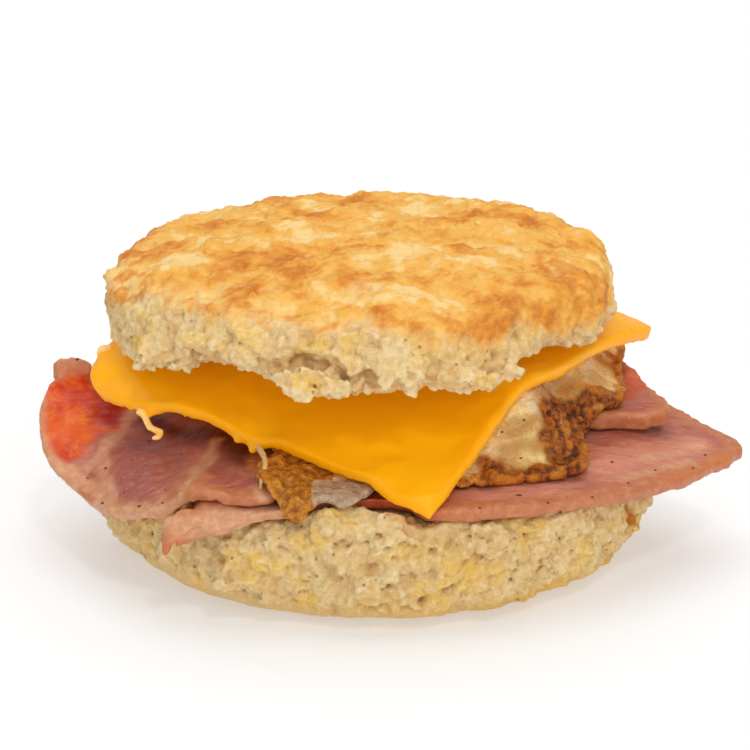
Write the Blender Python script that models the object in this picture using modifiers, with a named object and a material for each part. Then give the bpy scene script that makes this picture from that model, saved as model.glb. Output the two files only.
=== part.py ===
"""A breakfast sandwich: a split biscuit filled with ham, a fried egg and a slice of cheese.

Metres, +Z up. The origin is the centre of the flat underside of the bottom biscuit, and -Y is the front.
Every layer is laid on what is already below it, so the sandwich is built from the bottom to the top.
"""

import math
from collections import namedtuple

import bmesh
import bpy
import numpy as np
from mathutils import Vector, noise
from mathutils.bvhtree import BVHTree

MM = 0.001

# The gap that neighbouring layers keep on level ground, and round a rim
GAP = 0.45 * MM
RIM_GAP = 0.9 * MM
LEVEL = 0.9
SETTLING_STEP = 0.3 * MM
SETTLING_ROUNDS = 40
LAYING_PASSES = 3
SHOULDER_REACH = 1.4 * MM
NEAR = 3.5 * MM
INSIDE_REACH = 6 * MM
STIFF_REACH = 2 * MM
DRAPE_REACH = 2.5 * MM
ABOVE_ALL = 200 * MM

# Smooth noise: how far apart the patterns of two seeds are, and the factor that brings it to about -1 to 1
SEED_SHIFT = Vector((13.7, 5.3, 9.1))
NOISE_GAIN = 1.6

# Bottom biscuit
BOTTOM_RADIUS = 55 * MM
BOTTOM_HEIGHT = 24.5 * MM
BOTTOM_FLAT_RADIUS = 39 * MM
BOTTOM_SIDE_HEIGHT = 13 * MM
BOTTOM_TOP_EDGE = 4.5 * MM
BOTTOM_SAG = 2.0 * MM
BOTTOM_SAG_RADIUS = 50 * MM
BOTTOM_STEPS = 60
BOTTOM_CRUMB = ((11 * MM, 0.9 * MM), (5.5 * MM, 0.55 * MM))
SMOOTH_UP_TO = 7 * MM

# Top biscuit
TOP_CENTRE = (-2.9 * MM, -0.8 * MM)
TOP_RADIUS = 50.1 * MM
TOP_UNDERSIDE = 45.4 * MM
TOP_HEIGHT = 19.6 * MM
TOP_SHOULDER = 7.0 * MM
TOP_DOME_DROP = 3.6 * MM
TOP_DOME_POWER = 2.6
TOP_SIDE_HEIGHT = 52 * MM
TOP_EDGE_HEIGHT = 50 * MM
TOP_UNDER_ROUNDING = 8 * MM
TOP_LEFT_DROP = 4.6 * MM
TOP_LEFT_DROP_FROM = 34 * MM
TOP_RIM_BAND = (14 * MM, 2 * MM)
TOP_LOW_BAND = (6 * MM, -3 * MM)
TOP_HIGH_BAND = (0 * MM, 10 * MM)
TOP_TILT = 0.016
TOP_STEPS = 68

# Where the top biscuit's torn lower edge is higher: azimuth and half width in degrees, and height
TOP_NOTCHES = ((-123, 19, 4.6 * MM), (-43, 24, 5.4 * MM))
TOP_CRUMB = ((8 * MM, 0.9 * MM), (4.5 * MM, 0.6 * MM))
CRUST_WRINKLE = (15 * MM, 0.55 * MM)
CRUST_SWELL = (22 * MM, 0.35 * MM)

# Ham slices
HAM_THICKNESS = 2.6 * MM
HAM_THIN = 2.2 * MM
HAM_FOLD_THICKNESS = 3.5 * MM

# Cheese slice: plan of its front, left and right corners, and how it lies
CHEESE_THICKNESS = 2.7 * MM
CHEESE_FRONT = (10.4 * MM, -56.0 * MM)
CHEESE_LEFT = (-61.8 * MM, -12.4 * MM)
CHEESE_RIGHT = (57.5 * MM, 11.0 * MM)
CHEESE_CORNER_RADII = {"front": 0.03, "left": 0.20, "right": 0.06, "back": 0.08}
CHEESE_BED = 41.8 * MM
CHEESE_SLOPE = 0.37
CHEESE_LEAN = (0.1, 0.25)
CHEESE_FOLD = 9.0 * MM
CHEESE_FOLD_SOFTNESS = 5.0 * MM
CHEESE_TIP = 35.0 * MM
CHEESE_TIP_DROOP = 0.021 / MM
CHEESE_RIM = 44 * MM
CHEESE_LEFT_DROOP = 0.03 / MM
CHEESE_RIGHT_DROOP = 0.016 / MM
CHEESE_SEGMENTS = 18

# What props the cheese up from below: its middle and width across, its height, and where in front it starts
CheeseProp = namedtuple("CheeseProp", "middle width height starts full")
CHEESE_PROPS = (
    CheeseProp(-30 * MM, 19 * MM, 2.1 * MM, 0 * MM, 25 * MM),
    CheeseProp(28 * MM, 8 * MM, 4.3 * MM, 14 * MM, 30 * MM),
)

# Fried egg: thickness of its crisp rim, its blisters, and where from the centre to the rim it thins out
EGG_EDGE = 1.7 * MM
EGG_BLISTER = (6 * MM, 0.3 * MM)
EGG_THINNING = (0.72, 0.97)

# Rims of the soft slices, anticlockwise from the right: plan and height of the lower edge, in millimetres
HAM_LOWER_CENTRE = (10, -5)
HAM_LOWER_RIM = (
    (73.5, -3.5, 18.9), (67.5, 4.5, 19.8), (61, 12, 22.3), (53, 21, 22.6), (42, 32, 22.4),
    (28, 43, 22.0), (10, 50, 22.0), (-10, 50, 22.5), (-26, 43, 23.0), (-32, 28, 23.8),
    (-32, 8, 24.2), (-30, -14, 24.0), (-28.5, -30, 22.8), (-31.5, -39, 21.4), (-39.4, -47.2, 13.4),
    (-34.5, -50.2, 15.6), (-27, -51.4, 19.6), (-17, -52.2, 22.0), (-2, -51.5, 22.8), (13, -51.5, 22.6),
    (24, -50.5, 22.8), (36, -44.5, 21.8), (48, -35.5, 20.5), (57, -26, 19.4), (66, -15, 18.6),
)
HAM_LEFT_CENTRE = (-30, -6)
HAM_LEFT_RIM = (
    (13, 0, 28.0), (13, 20, 28.0), (4, 38, 27.5), (-14, 47, 25.5), (-32, 43, 24.5), (-46, 33, 24.5),
    (-55, 24, 26.5), (-60, 15.5, 30.0), (-64, 8, 33.4), (-66.6, 3, 31.8), (-67.4, -1.5, 26.5),
    (-66.7, -6, 21.5), (-64.4, -11, 17.9), (-60.5, -16.5, 17.0), (-57, -22, 16.4), (-54, -28, 15.6),
    (-48, -37, 17.2), (-42, -43.2, 19.6), (-33, -47.8, 21.8), (-26, -49.4, 23.4), (-20.5, -49.6, 24.4),
    (-18.5, -44, 25.2), (-19.5, -34, 26.6), (-15, -22, 27.5), (2, -12, 28.0),
)
HAM_RIGHT_CENTRE = (34, 12)
HAM_RIGHT_RIM = (
    (54.5, 11, 28.0), (51, 20, 30.0), (44, 32, 29.5), (32, 41, 28.0), (19, 42, 27.5), (17, 24, 27.5),
    (17, 4, 27.5), (20, -12, 27.2), (30, -13.5, 26.4), (41, -11, 25.4), (50, -8.5, 25.8),
    (58.2, -5.5, 26.2), (57, 3, 26.6),
)
EGG_CENTRE = (6, -6)
EGG_RIM = (
    (50.2, 2, 31.0), (49.8, 9, 32.4), (51, 17, 35.0), (46, 28, 34.0), (36, 38, 32.0), (20, 46, 31.0),
    (0, 49, 30.0), (-20, 45, 29.5), (-34, 34, 30.0), (-41, 18, 30.5), (-42, 2, 30.5),
    (-33, -13, 30.0), (-24.5, -26, 29.0), (-18.5, -36, 28.2), (-22.4, -45, 27.2), (-21, -50.4, 25.4),
    (-14, -55.8, 22.6), (-9.5, -52.4, 24.6), (-5.5, -53.2, 24.2), (-1.8, -50.5, 24.8),
    (2, -45, 25.2), (8, -43.5, 25.2), (15, -44.2, 25.4), (23.8, -42, 25.6), (31.5, -39, 24.8),
    (38.6, -34.4, 24.4), (41, -27.5, 24.8), (40, -16, 27.8), (47, -9.5, 29.0), (49.8, -4, 30.4),
)

# Torn lumps on the lower edge of the top biscuit: place and half sizes, in millimetres
TOP_LUMPS = (
    ((-12.4, -48.5, 51.0), (8.2, 5.0, 3.6)),
    ((-12.6, -49.5, 48.4), (4.6, 3.2, 2.6)),
    ((5.0, -49.0, 51.0), (6.0, 4.2, 3.2)),
    ((16.7, -47.0, 50.2), (5.6, 4.6, 3.6)),
    ((25.6, -43.6, 50.3), (3.8, 3.6, 3.2)),
    ((-40.0, -31.0, 49.2), (7.0, 5.5, 3.4)),
)
LUMP_ROUGHNESS = 0.32
BACK_LUMPS = (
    ((43.2, 5.5, 50.6), (4.4, 4.4, 3.2)), ((38.5, 23.5, 50.6), (5.4, 4.6, 3.2)),
    ((20.5, 40.0, 50.6), (4.6, 4.6, 3.2)), ((-3.0, 45.5, 50.6), (5.6, 4.6, 3.2)),
    ((-25.5, 39.5, 50.6), (4.8, 4.8, 3.2)), ((-43.0, 21.0, 50.6), (3.6, 3.6, 3.2)),
)
BOTTOM_LUMPS = (
    ((-6.0, -53.0, 19.8), (6.0, 2.4, 3.0)),
    ((-24.5, -46.6, 11.0), (7.0, 4.0, 4.0)),
    ((21.0, -50.0, 18.4), (7.0, 3.2, 3.4)),
)

sandwich = bpy.data.collections.new("breakfast_sandwich")
lumps = bpy.data.collections.new("lumps")


def clear_scene():
    for item in list(bpy.data.objects):
        bpy.data.objects.remove(item)
    bpy.context.scene.collection.children.link(sandwich)
    bpy.context.scene.collection.children.link(lumps)


def smoothstep(low, high, value):
    share = min(max((value - low) / (high - low), 0.0), 1.0)
    return share * share * (3 - 2 * share)


def mix(first, second, share):
    return first + (second - first) * share


def food_material(name, colour, roughness):
    material = bpy.data.materials.new(name)
    material.use_nodes = True
    shader = material.node_tree.nodes["Principled BSDF"]
    shader.inputs["Base Color"].default_value = (*colour, 1.0)
    shader.inputs["Roughness"].default_value = roughness
    shader.inputs["Metallic"].default_value = 0.0
    return material


def add_object(name, mesh, material, collection=sandwich):
    item = bpy.data.objects.new(name, mesh)
    collection.objects.link(item)
    mesh.materials.clear()
    mesh.materials.append(material)
    mesh.shade_smooth()
    return item


def applied(item):
    """Makes the object's evaluated shape its own mesh, and drops its modifiers."""
    graph = bpy.context.evaluated_depsgraph_get()
    graph.update()
    mesh = bpy.data.meshes.new_from_object(item.evaluated_get(graph))
    item.modifiers.clear()
    item.data = mesh
    return item


Layer = namedtuple("Layer", "tree normals is_biscuit")


def layer_of(item):
    polygons = item.data.polygons
    tree = BVHTree.FromPolygons([v.co for v in item.data.vertices], [p.vertices for p in polygons])
    return Layer(tree, [p.normal.copy() for p in polygons], item.name.startswith("biscuit"))


def top_beneath(layers, x, y, reach=0.0):
    """Height of the highest layer at a point, and round it at the given reach. None where there is none."""
    around = ((0, 0), (1, 0), (-1, 0), (0, 1), (0, -1), (0.7, 0.7), (-0.7, 0.7), (0.7, -0.7), (-0.7, -0.7))
    heights = []
    for dx, dy in around if reach else around[:1]:
        start = Vector((x + dx * reach, y + dy * reach, ABOVE_ALL))
        hits = (layer.tree.ray_cast(start, Vector((0, 0, -1)))[0] for layer in layers)
        heights += [hit.z for hit in hits if hit is not None]
    return max(heights, default=None)


def bumps(point, size, seed):
    """Smooth noise from about -1 to 1, with bumps of the given size."""
    return noise.noise(Vector(point) / size + SEED_SHIFT * seed) * NOISE_GAIN


def crumb(point, coarse_and_fine, seed):
    """Height of a crumb surface that has coarse bumps with finer ones on them."""
    return sum(bumps(point, size, seed + i) * height for i, (size, height) in enumerate(coarse_and_fine))


# Turned biscuits, roughened by noise


def turned(name, profile, steps, material):
    mesh = bpy.data.meshes.new(name)
    outline = bmesh.new()
    ring = [outline.verts.new((radius, 0, height)) for radius, height in profile]
    for upper, lower in zip(ring, ring[1:]):
        outline.edges.new((upper, lower))
    outline.to_mesh(mesh)
    outline.free()
    item = add_object(name, mesh, material)
    screw = item.modifiers.new("turn", "SCREW")
    screw.steps = screw.render_steps = steps
    screw.use_merge_vertices = True
    screw.merge_threshold = 0.00001
    return applied(item)


def arc(centre, radii, start, end, count):
    """Points along an elliptical arc in the profile's plane, angles in degrees."""
    angles = (math.radians(mix(start, end, i / count)) for i in range(count + 1))
    return [(centre[0] + radii[0] * math.cos(a), centre[1] + radii[1] * math.sin(a)) for a in angles]


def bottom_top_height(radius):
    """Upper face of the bottom biscuit, carried on smoothly past its rim for what hangs over it."""
    return BOTTOM_HEIGHT - BOTTOM_SAG * (radius / BOTTOM_SAG_RADIUS) ** 4


def bottom_profile():
    inner = BOTTOM_RADIUS - BOTTOM_TOP_EDGE
    edge_height = bottom_top_height(inner) - BOTTOM_TOP_EDGE
    face = [(inner * i / 7, bottom_top_height(inner * i / 7)) for i in range(7)]
    upper = arc((inner, edge_height), (BOTTOM_TOP_EDGE, BOTTOM_TOP_EDGE), 90, 0, 3)
    rounding = (BOTTOM_RADIUS - BOTTOM_FLAT_RADIUS, BOTTOM_SIDE_HEIGHT)
    lower = arc((BOTTOM_FLAT_RADIUS, BOTTOM_SIDE_HEIGHT), rounding, 0, -90, 6)
    base = [(BOTTOM_FLAT_RADIUS * i / 3, 0) for i in (2, 1, 0)]
    return face + upper + lower + base


def top_profile():
    shoulder = TOP_RADIUS - TOP_SHOULDER
    crown = TOP_UNDERSIDE + TOP_HEIGHT

    def dome(radius):
        return crown - TOP_DOME_DROP * (radius / shoulder) ** TOP_DOME_POWER

    face = [(shoulder * i / 8, dome(shoulder * i / 8)) for i in range(8)]
    upper = arc((shoulder, dome(shoulder) - TOP_SHOULDER), (TOP_SHOULDER, TOP_SHOULDER), 90, 0, 5)
    side = [(TOP_RADIUS, TOP_SIDE_HEIGHT)]
    underside = (TOP_UNDER_ROUNDING, TOP_EDGE_HEIGHT - TOP_UNDERSIDE)
    lower = arc((TOP_RADIUS - TOP_UNDER_ROUNDING, TOP_EDGE_HEIGHT), underside, -15, -90, 3)
    base = [(lower[-1][0] * i / 3, TOP_UNDERSIDE) for i in (2, 1, 0)]
    return face + upper + side + lower + base


def roughen(item, relief):
    """Splits the faces into triangles, and moves each point along its normal by relief(point, normal)."""
    split = bmesh.new()
    split.from_mesh(item.data)
    bmesh.ops.triangulate(split, faces=split.faces)
    split.to_mesh(item.data)
    split.free()
    moved = [v.co + v.normal * relief(v.co, v.normal) for v in item.data.vertices]
    for vertex, place in zip(item.data.vertices, moved):
        vertex.co = place
    item.data.update()


def bottom_relief(point, normal):
    clear_of_floor = smoothstep(0, SMOOTH_UP_TO, point.z)
    cut_face = smoothstep(0.7, 0.95, normal.z)
    return crumb(point, BOTTOM_CRUMB, 1) * clear_of_floor * mix(1.0, 0.3, cut_face)


def top_relief(point, normal):
    size, height = CRUST_WRINKLE
    wrinkles = (1 - 2 * abs(bumps(point, size, 3))) * height
    size, height = CRUST_SWELL
    wrinkles += bumps(point, size, 4) * height
    on_crust = smoothstep(0.15, 0.6, normal.z)
    under = smoothstep(0.5, 0.9, -normal.z)
    return mix(mix(crumb(point, TOP_CRUMB, 5), wrinkles, on_crust), 0.0, under)


def leaned(vertex):
    """Places a point of the top biscuit, whose crown leans to the left, where its side also hangs lower."""
    left = smoothstep(TOP_LEFT_DROP_FROM, TOP_RADIUS, -vertex.co.x)
    azimuth = math.degrees(math.atan2(vertex.co.y, vertex.co.x))
    raised = sum(rise * smoothstep(width, 0, abs(azimuth - middle)) for middle, width, rise in TOP_NOTCHES)
    rim = smoothstep(*TOP_RIM_BAND, TOP_RADIUS - math.hypot(vertex.co.x, vertex.co.y))
    low = smoothstep(*TOP_LOW_BAND, vertex.co.z - TOP_EDGE_HEIGHT)
    high = smoothstep(*TOP_HIGH_BAND, vertex.co.z - TOP_EDGE_HEIGHT)
    vertex.co.z += TOP_TILT * vertex.co.x * high + (raised - TOP_LEFT_DROP * left) * rim * low
    vertex.co.x += TOP_CENTRE[0]
    vertex.co.y += TOP_CENTRE[1]


def add_lump(name, place, half_sizes, material, seed):
    lump = bmesh.new()
    bmesh.ops.create_icosphere(lump, subdivisions=2, radius=1.0)
    for vertex in lump.verts:
        rough = 1 + LUMP_ROUGHNESS * bumps(vertex.co, 0.7, seed)
        vertex.co = Vector(c + h * p * rough for c, h, p in zip(place, half_sizes, vertex.co)) * MM
    mesh = bpy.data.meshes.new(name)
    lump.to_mesh(mesh)
    lump.free()
    add_object(name, mesh, material, lumps)


def join_lumps(item):
    """Joins every lump into the biscuit as one body."""
    union = item.modifiers.new("lumps", "BOOLEAN")
    union.operation = "UNION"
    union.operand_type = "COLLECTION"
    union.collection = lumps
    union.solver = "EXACT"
    applied(item)
    for lump in list(lumps.objects):
        bpy.data.objects.remove(lump)


def build_bottom_biscuit(material):
    biscuit = turned("biscuit_bottom", bottom_profile(), BOTTOM_STEPS, material)
    roughen(biscuit, bottom_relief)
    for index, (place, half_sizes) in enumerate(BOTTOM_LUMPS):
        add_lump(f"crag_{index}", place, half_sizes, material, index + 20)
    join_lumps(biscuit)
    return biscuit


def build_top_biscuit(material, layers):
    biscuit = turned("biscuit_top", top_profile(), TOP_STEPS, material)
    for vertex in biscuit.data.vertices:
        leaned(vertex)
    biscuit.data.update()
    roughen(biscuit, top_relief)
    for vertex in biscuit.data.vertices:
        beneath = top_beneath(layers, vertex.co.x, vertex.co.y, STIFF_REACH)
        if beneath is not None and vertex.normal.z < 0.2:
            vertex.co.z = max(vertex.co.z, beneath + GAP)
    lift_clear(biscuit.data.vertices, [list(face.vertices) for face in biscuit.data.polygons], layers)
    for index, (place, half_sizes) in enumerate(TOP_LUMPS + BACK_LUMPS):
        add_lump(f"flake_{index}", place, half_sizes, material, index + 40)
    join_lumps(biscuit)
    return biscuit


# Soft slices laid on what is beneath them


def smooth_rim(points, count=12):
    """A closed curve through the points, as arrays of x, y and z in metres."""
    places = np.array(points, float) * MM
    before, after, beyond = np.roll(places, 1, 0), np.roll(places, -1, 0), np.roll(places, -2, 0)
    curve = []
    for t in np.arange(count) / count:
        curve.append(
            0.5 * (2 * places + (after - before) * t
                   + (2 * before - 5 * places + 4 * after - beyond) * t**2
                   + (3 * places - before - 3 * after + beyond) * t**3)
        )
    return np.stack(curve, 1).reshape(-1, 3)


def rim_by_azimuth(points, centre):
    """Two functions of the azimuth about the centre: the rim's reach and its height."""
    curve = smooth_rim(points)
    offset = curve[:, :2] - np.array(centre) * MM
    azimuth = np.arctan2(offset[:, 1], offset[:, 0])
    order = np.argsort(azimuth)
    azimuth, reach, height = azimuth[order], np.hypot(*offset[order].T), curve[order, 2]

    def reach_at(angle):
        return float(np.interp(angle, azimuth, reach, period=2 * math.pi))

    def height_at(angle):
        return float(np.interp(angle, azimuth, height, period=2 * math.pi))

    return reach_at, height_at


def round_grid(segments):
    """A grid pressed into a disc of radius 1, with more of its rings near the edge."""
    grid = bmesh.new()
    bmesh.ops.create_grid(grid, x_segments=segments, y_segments=segments, size=1.0)
    for vertex in grid.verts:
        a, b = vertex.co.x, vertex.co.y
        x, y = a * math.sqrt(1 - b * b / 2), b * math.sqrt(1 - a * a / 2)
        radius = math.hypot(x, y)
        spread = (1 - (1 - min(radius, 1.0)) ** 1.25) / radius if radius > 1e-6 else 1.0
        vertex.co = (x * spread, y * spread, 0)
    bmesh.ops.triangulate(grid, faces=grid.faces)
    return grid


def rest_height(layers, x, y):
    """Height at which a soft slice lies: just above what is beneath, or sagging past the biscuit's rim."""
    bed = bottom_top_height(math.hypot(x, y))
    beneath = top_beneath(layers, x, y, DRAPE_REACH)
    return max(bed, beneath if beneath is not None else bed) + GAP


def pushed_clear(layers, place):
    """Moves a point that is inside a layer, or too near its side, out along the layer's normal."""
    for layer in layers:
        nearest, normal, _, _ = layer.tree.find_nearest(place)
        gap = GAP if normal.z > LEVEL else RIM_GAP
        short = gap - (place - nearest).dot(normal)
        if short > 0 and (place - nearest).length < INSIDE_REACH:
            place = place + normal * short
    return place


def relax(grid, rounds, even_rim, share=0.5):
    """Evens out a sheet's heights, as its stiffness does. A rim point stays, or follows the rim alone."""
    for _ in range(rounds):
        heights = {}
        for vertex in grid.verts:
            if vertex.is_boundary and not even_rim:
                continue
            edges = [edge for edge in vertex.link_edges if edge.is_boundary or not vertex.is_boundary]
            around = [edge.other_vert(vertex).co.z for edge in edges]
            heights[vertex] = mix(vertex.co.z, sum(around) / len(around), share)
        for vertex, height in heights.items():
            vertex.co.z = height


def lift_clear(vertices, faces, layers):
    """Moves what still touches a layer off it in small steps: off the biscuit's side, or up off a slice."""
    for _ in range(SETTLING_ROUNDS):
        lowered = BVHTree.FromPolygons([v.co - Vector((0, 0, GAP / 2)) for v in vertices], faces)
        pushes = {}
        for layer in layers:
            for mine, other in lowered.overlap(layer.tree):
                way = layer.normals[other] if layer.is_biscuit else Vector((0, 0, 1))
                near = [i for i in faces[mine] if layer.tree.find_nearest(vertices[i].co, NEAR)[0]]
                for corner in near or faces[mine]:
                    pushes[corner] = pushes.get(corner, Vector()) + way
        for corner, push in pushes.items():
            vertices[corner].co += push.normalized() * SETTLING_STEP
        if not pushes:
            return


def laid_disc(rim, centre, layers, segments, drape_from, even_rim=False):
    """A round grid stretched to the rim, lying on what is beneath, and drawn to the rim's own height."""
    reach_at, height_at = rim_by_azimuth(rim, centre)
    grid = round_grid(segments)
    for vertex in grid.verts:
        radius, azimuth = math.hypot(vertex.co.x, vertex.co.y), math.atan2(vertex.co.y, vertex.co.x)
        x = centre[0] * MM + radius * reach_at(azimuth) * math.cos(azimuth)
        y = centre[1] * MM + radius * reach_at(azimuth) * math.sin(azimuth)
        height = mix(rest_height(layers, x, y), height_at(azimuth), smoothstep(drape_from, 1.0, radius))
        beneath = top_beneath(layers, x, y, SHOULDER_REACH)
        if beneath is not None:
            height = max(height, beneath + GAP)
        vertex.co = pushed_clear(layers, Vector((x, y, height)))
    faces = [[v.index for v in face.verts] for face in grid.faces]
    for _ in range(LAYING_PASSES):
        lift_clear(list(grid.verts), faces, layers)
        relax(grid, 3, even_rim)
    lift_clear(list(grid.verts), faces, layers)
    return grid


def thick_slice(name, grid, thickness, material):
    """Closes an open sheet into a slice that is thick upwards from it."""
    mesh = bpy.data.meshes.new(name)
    grid.to_mesh(mesh)
    grid.free()
    item = add_object(name, mesh, material)
    solid = item.modifiers.new("thickness", "SOLIDIFY")
    solid.thickness = thickness
    solid.offset = 1.0
    solid.use_even_offset = False
    return applied(item)


def cheese_bed(x, y):
    """Underside of the cheese: level inside, and sloping to the front with a soft fold."""
    front = -y - mix(*CHEESE_LEAN, smoothstep(-5 * MM, 15 * MM, x)) * x - CHEESE_FOLD
    slope = CHEESE_SLOPE * CHEESE_FOLD_SOFTNESS * math.log1p(math.exp(front / CHEESE_FOLD_SOFTNESS))
    tip = CHEESE_TIP_DROOP * max(0.0, front - CHEESE_TIP) ** 2
    past_rim = max(0.0, math.hypot(x, y) - CHEESE_RIM)
    droop = mix(CHEESE_LEFT_DROOP, CHEESE_RIGHT_DROOP, smoothstep(0, 20 * MM, x))
    propped = 0.0
    for prop in CHEESE_PROPS:
        across = math.exp(-(((x - prop.middle) / prop.width) ** 2))
        propped += prop.height * across * smoothstep(prop.starts, prop.full, -y)
    return CHEESE_BED - slope - tip + propped - droop * smoothstep(-30 * MM, 0, y) * past_rim**2


def build_egg(material, layers):
    """A fried egg: thin and crisp at its rim, swelling inwards until it carries the cheese."""
    reach_at, _ = rim_by_azimuth(EGG_RIM, EGG_CENTRE)
    grid = laid_disc(EGG_RIM, EGG_CENTRE, layers, 22, 0.82)
    swollen = bmesh.ops.extrude_face_region(grid, geom=grid.faces[:])
    upper = [part for part in swollen["geom"] if isinstance(part, bmesh.types.BMVert)]
    blister_size, blister_height = EGG_BLISTER
    for vertex in upper:
        offset = Vector(vertex.co.xy) - Vector(EGG_CENTRE) * MM
        share = offset.length / reach_at(math.atan2(offset.y, offset.x))
        thin = vertex.co.z + EGG_EDGE + bumps(vertex.co, blister_size, 7) * blister_height
        full = max(cheese_bed(vertex.co.x, vertex.co.y) - GAP, thin)
        vertex.co.z = mix(full, thin, smoothstep(*EGG_THINNING, share))
    bmesh.ops.recalc_face_normals(grid, faces=grid.faces)
    mesh = bpy.data.meshes.new("fried_egg")
    grid.to_mesh(mesh)
    grid.free()
    return add_object("fried_egg", mesh, material)


def rounded_square_point(a, b):
    """Moves a point of the square from -1 to 1 so that each corner gets its own radius."""
    ring = max(abs(a), abs(b))
    if ring < 1e-6:
        return a, b
    corner = {(-1, -1): "front", (-1, 1): "left", (1, -1): "right", (1, 1): "back"}
    name = corner[(-1 if a < 0 else 1, -1 if b < 0 else 1)]
    radius = 2 * CHEESE_CORNER_RADII[name]
    u, v = abs(a) / ring, abs(b) / ring
    inner = 1 - radius
    if u > inner and v > inner:
        length = math.hypot(u - inner, v - inner)
        u, v = inner + (u - inner) / length * radius, inner + (v - inner) / length * radius
    return math.copysign(u * ring, a), math.copysign(v * ring, b)


def build_cheese(material, layers):
    front, left, right = Vector(CHEESE_FRONT), Vector(CHEESE_LEFT), Vector(CHEESE_RIGHT)
    middle = (left + right) / 2
    along_right, along_left = (right - front) / 2, (left - front) / 2
    grid = bmesh.new()
    bmesh.ops.create_grid(grid, x_segments=CHEESE_SEGMENTS, y_segments=CHEESE_SEGMENTS, size=1.0)
    bmesh.ops.triangulate(grid, faces=grid.faces)
    for vertex in grid.verts:
        a, b = rounded_square_point(vertex.co.x, vertex.co.y)
        x, y = middle + along_right * a + along_left * b
        height = cheese_bed(x, y)
        beneath = top_beneath(layers, x, y, STIFF_REACH)
        if beneath is not None:
            height = max(height, beneath + GAP)
        vertex.co = (x, y, height)
    lift_clear(list(grid.verts), [[v.index for v in face.verts] for face in grid.faces], layers)
    return thick_slice("cheese_slice", grid, CHEESE_THICKNESS, material)


def main():
    clear_scene()
    crumb = food_material("biscuit_crumb", (0.72, 0.50, 0.20), 0.85)
    crust = food_material("biscuit_crust", (0.85, 0.43, 0.10), 0.6)
    ham = food_material("ham", (0.48, 0.16, 0.11), 0.45)
    egg = food_material("fried_egg", (0.70, 0.42, 0.18), 0.5)
    cheese = food_material("cheese", (0.89, 0.40, 0.012), 0.35)

    layers = [layer_of(build_bottom_biscuit(crumb))]
    grid = laid_disc(HAM_LOWER_RIM, HAM_LOWER_CENTRE, layers, 20, 0.78)
    layers.append(layer_of(thick_slice("ham_slice_lower", grid, HAM_THICKNESS, ham)))
    grid = laid_disc(HAM_LEFT_RIM, HAM_LEFT_CENTRE, layers, 20, 0.55, even_rim=True)
    layers.append(layer_of(thick_slice("ham_slice_left", grid, HAM_THIN, ham)))
    grid = laid_disc(HAM_RIGHT_RIM, HAM_RIGHT_CENTRE, layers, 12, 0.6)
    layers.append(layer_of(thick_slice("ham_slice_right", grid, HAM_FOLD_THICKNESS, ham)))
    layers.append(layer_of(build_egg(egg, layers)))
    layers.append(layer_of(build_cheese(cheese, layers)))
    build_top_biscuit(crust, layers)
    bpy.data.collections.remove(lumps)


main()
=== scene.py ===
# %% [markdown]
# # A breakfast sandwich
#
# The real thing is a round biscuit, split and filled with ham, a fried egg and a slice of orange cheese.
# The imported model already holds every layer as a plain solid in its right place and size. What is missing
# is what makes food look like food: torn crumb, a blotchy crust, fibres in the meat, a crisp egg rim.
#
# The way through this lesson is the same for each layer. Copy its solid, rebuild the copy in small even
# squares, raise and sink those squares by noise, and note on the mesh where it is toasted, hollow or fatty.
# The material then reads those notes, so that colour and relief always agree.

import math
import random

import bmesh
import bpy
import numpy as np
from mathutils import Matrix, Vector, kdtree, noise
from mathutils.bvhtree import BVHTree


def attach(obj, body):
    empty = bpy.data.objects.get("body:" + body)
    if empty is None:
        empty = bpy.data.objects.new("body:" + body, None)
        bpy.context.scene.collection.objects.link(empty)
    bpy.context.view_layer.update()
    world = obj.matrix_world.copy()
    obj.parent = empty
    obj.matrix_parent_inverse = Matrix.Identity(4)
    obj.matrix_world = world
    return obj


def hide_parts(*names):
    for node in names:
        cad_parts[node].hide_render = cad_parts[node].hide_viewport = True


MM = 0.001
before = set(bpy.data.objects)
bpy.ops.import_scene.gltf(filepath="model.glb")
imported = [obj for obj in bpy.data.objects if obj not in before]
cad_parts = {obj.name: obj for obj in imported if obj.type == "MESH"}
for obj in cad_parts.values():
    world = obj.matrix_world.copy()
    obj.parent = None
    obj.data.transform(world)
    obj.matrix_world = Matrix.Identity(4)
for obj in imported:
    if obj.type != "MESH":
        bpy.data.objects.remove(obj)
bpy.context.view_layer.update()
print("solids:", ", ".join(sorted(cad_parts)))

# %% [markdown]
# ## The camera first
#
# A product photo of food is taken with a long lens from a little above the table. The lens is long, so the
# layers stay parallel. The camera is made first because small things, such as a fleck of pepper, are placed
# by looking through it: a ray goes from the camera through a point of the picture and lands on the food.

# %% Camera
PICTURE = 750
CAMERA_DISTANCE = 700.0
CAMERA_TILT = math.radians(18)
LOOKED_AT = Vector((0, 0, 35))
LENS, SENSOR = 168.0, 36.0

forward = Vector((0, math.cos(CAMERA_TILT), -math.sin(CAMERA_TILT)))
upward = Vector((0, math.sin(CAMERA_TILT), math.cos(CAMERA_TILT)))
eye = LOOKED_AT - forward * CAMERA_DISTANCE

camera = bpy.data.objects.new("camera", bpy.data.cameras.new("camera"))
camera.data.lens, camera.data.sensor_width = LENS, SENSOR
camera.location = eye * MM
camera.rotation_euler = (math.pi / 2 - CAMERA_TILT, 0, 0)
bpy.context.scene.collection.objects.link(camera)
bpy.context.scene.camera = camera


def sight_line(across, down):
    """The direction from the camera through a point of the picture."""
    half = PICTURE / 2
    per_pixel = SENSOR / LENS / PICTURE
    return (forward + Vector((across - half, 0, 0)) * per_pixel + upward * (half - down) * per_pixel).normalized()


def at_depth(across, down, depth):
    """Where the sight line through a point of the picture has that y, in mm."""
    line = sight_line(across, down)
    return eye + line * ((depth - eye.y) / line.y)


print("camera at", [round(c, 1) for c in eye], "mm")

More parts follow.
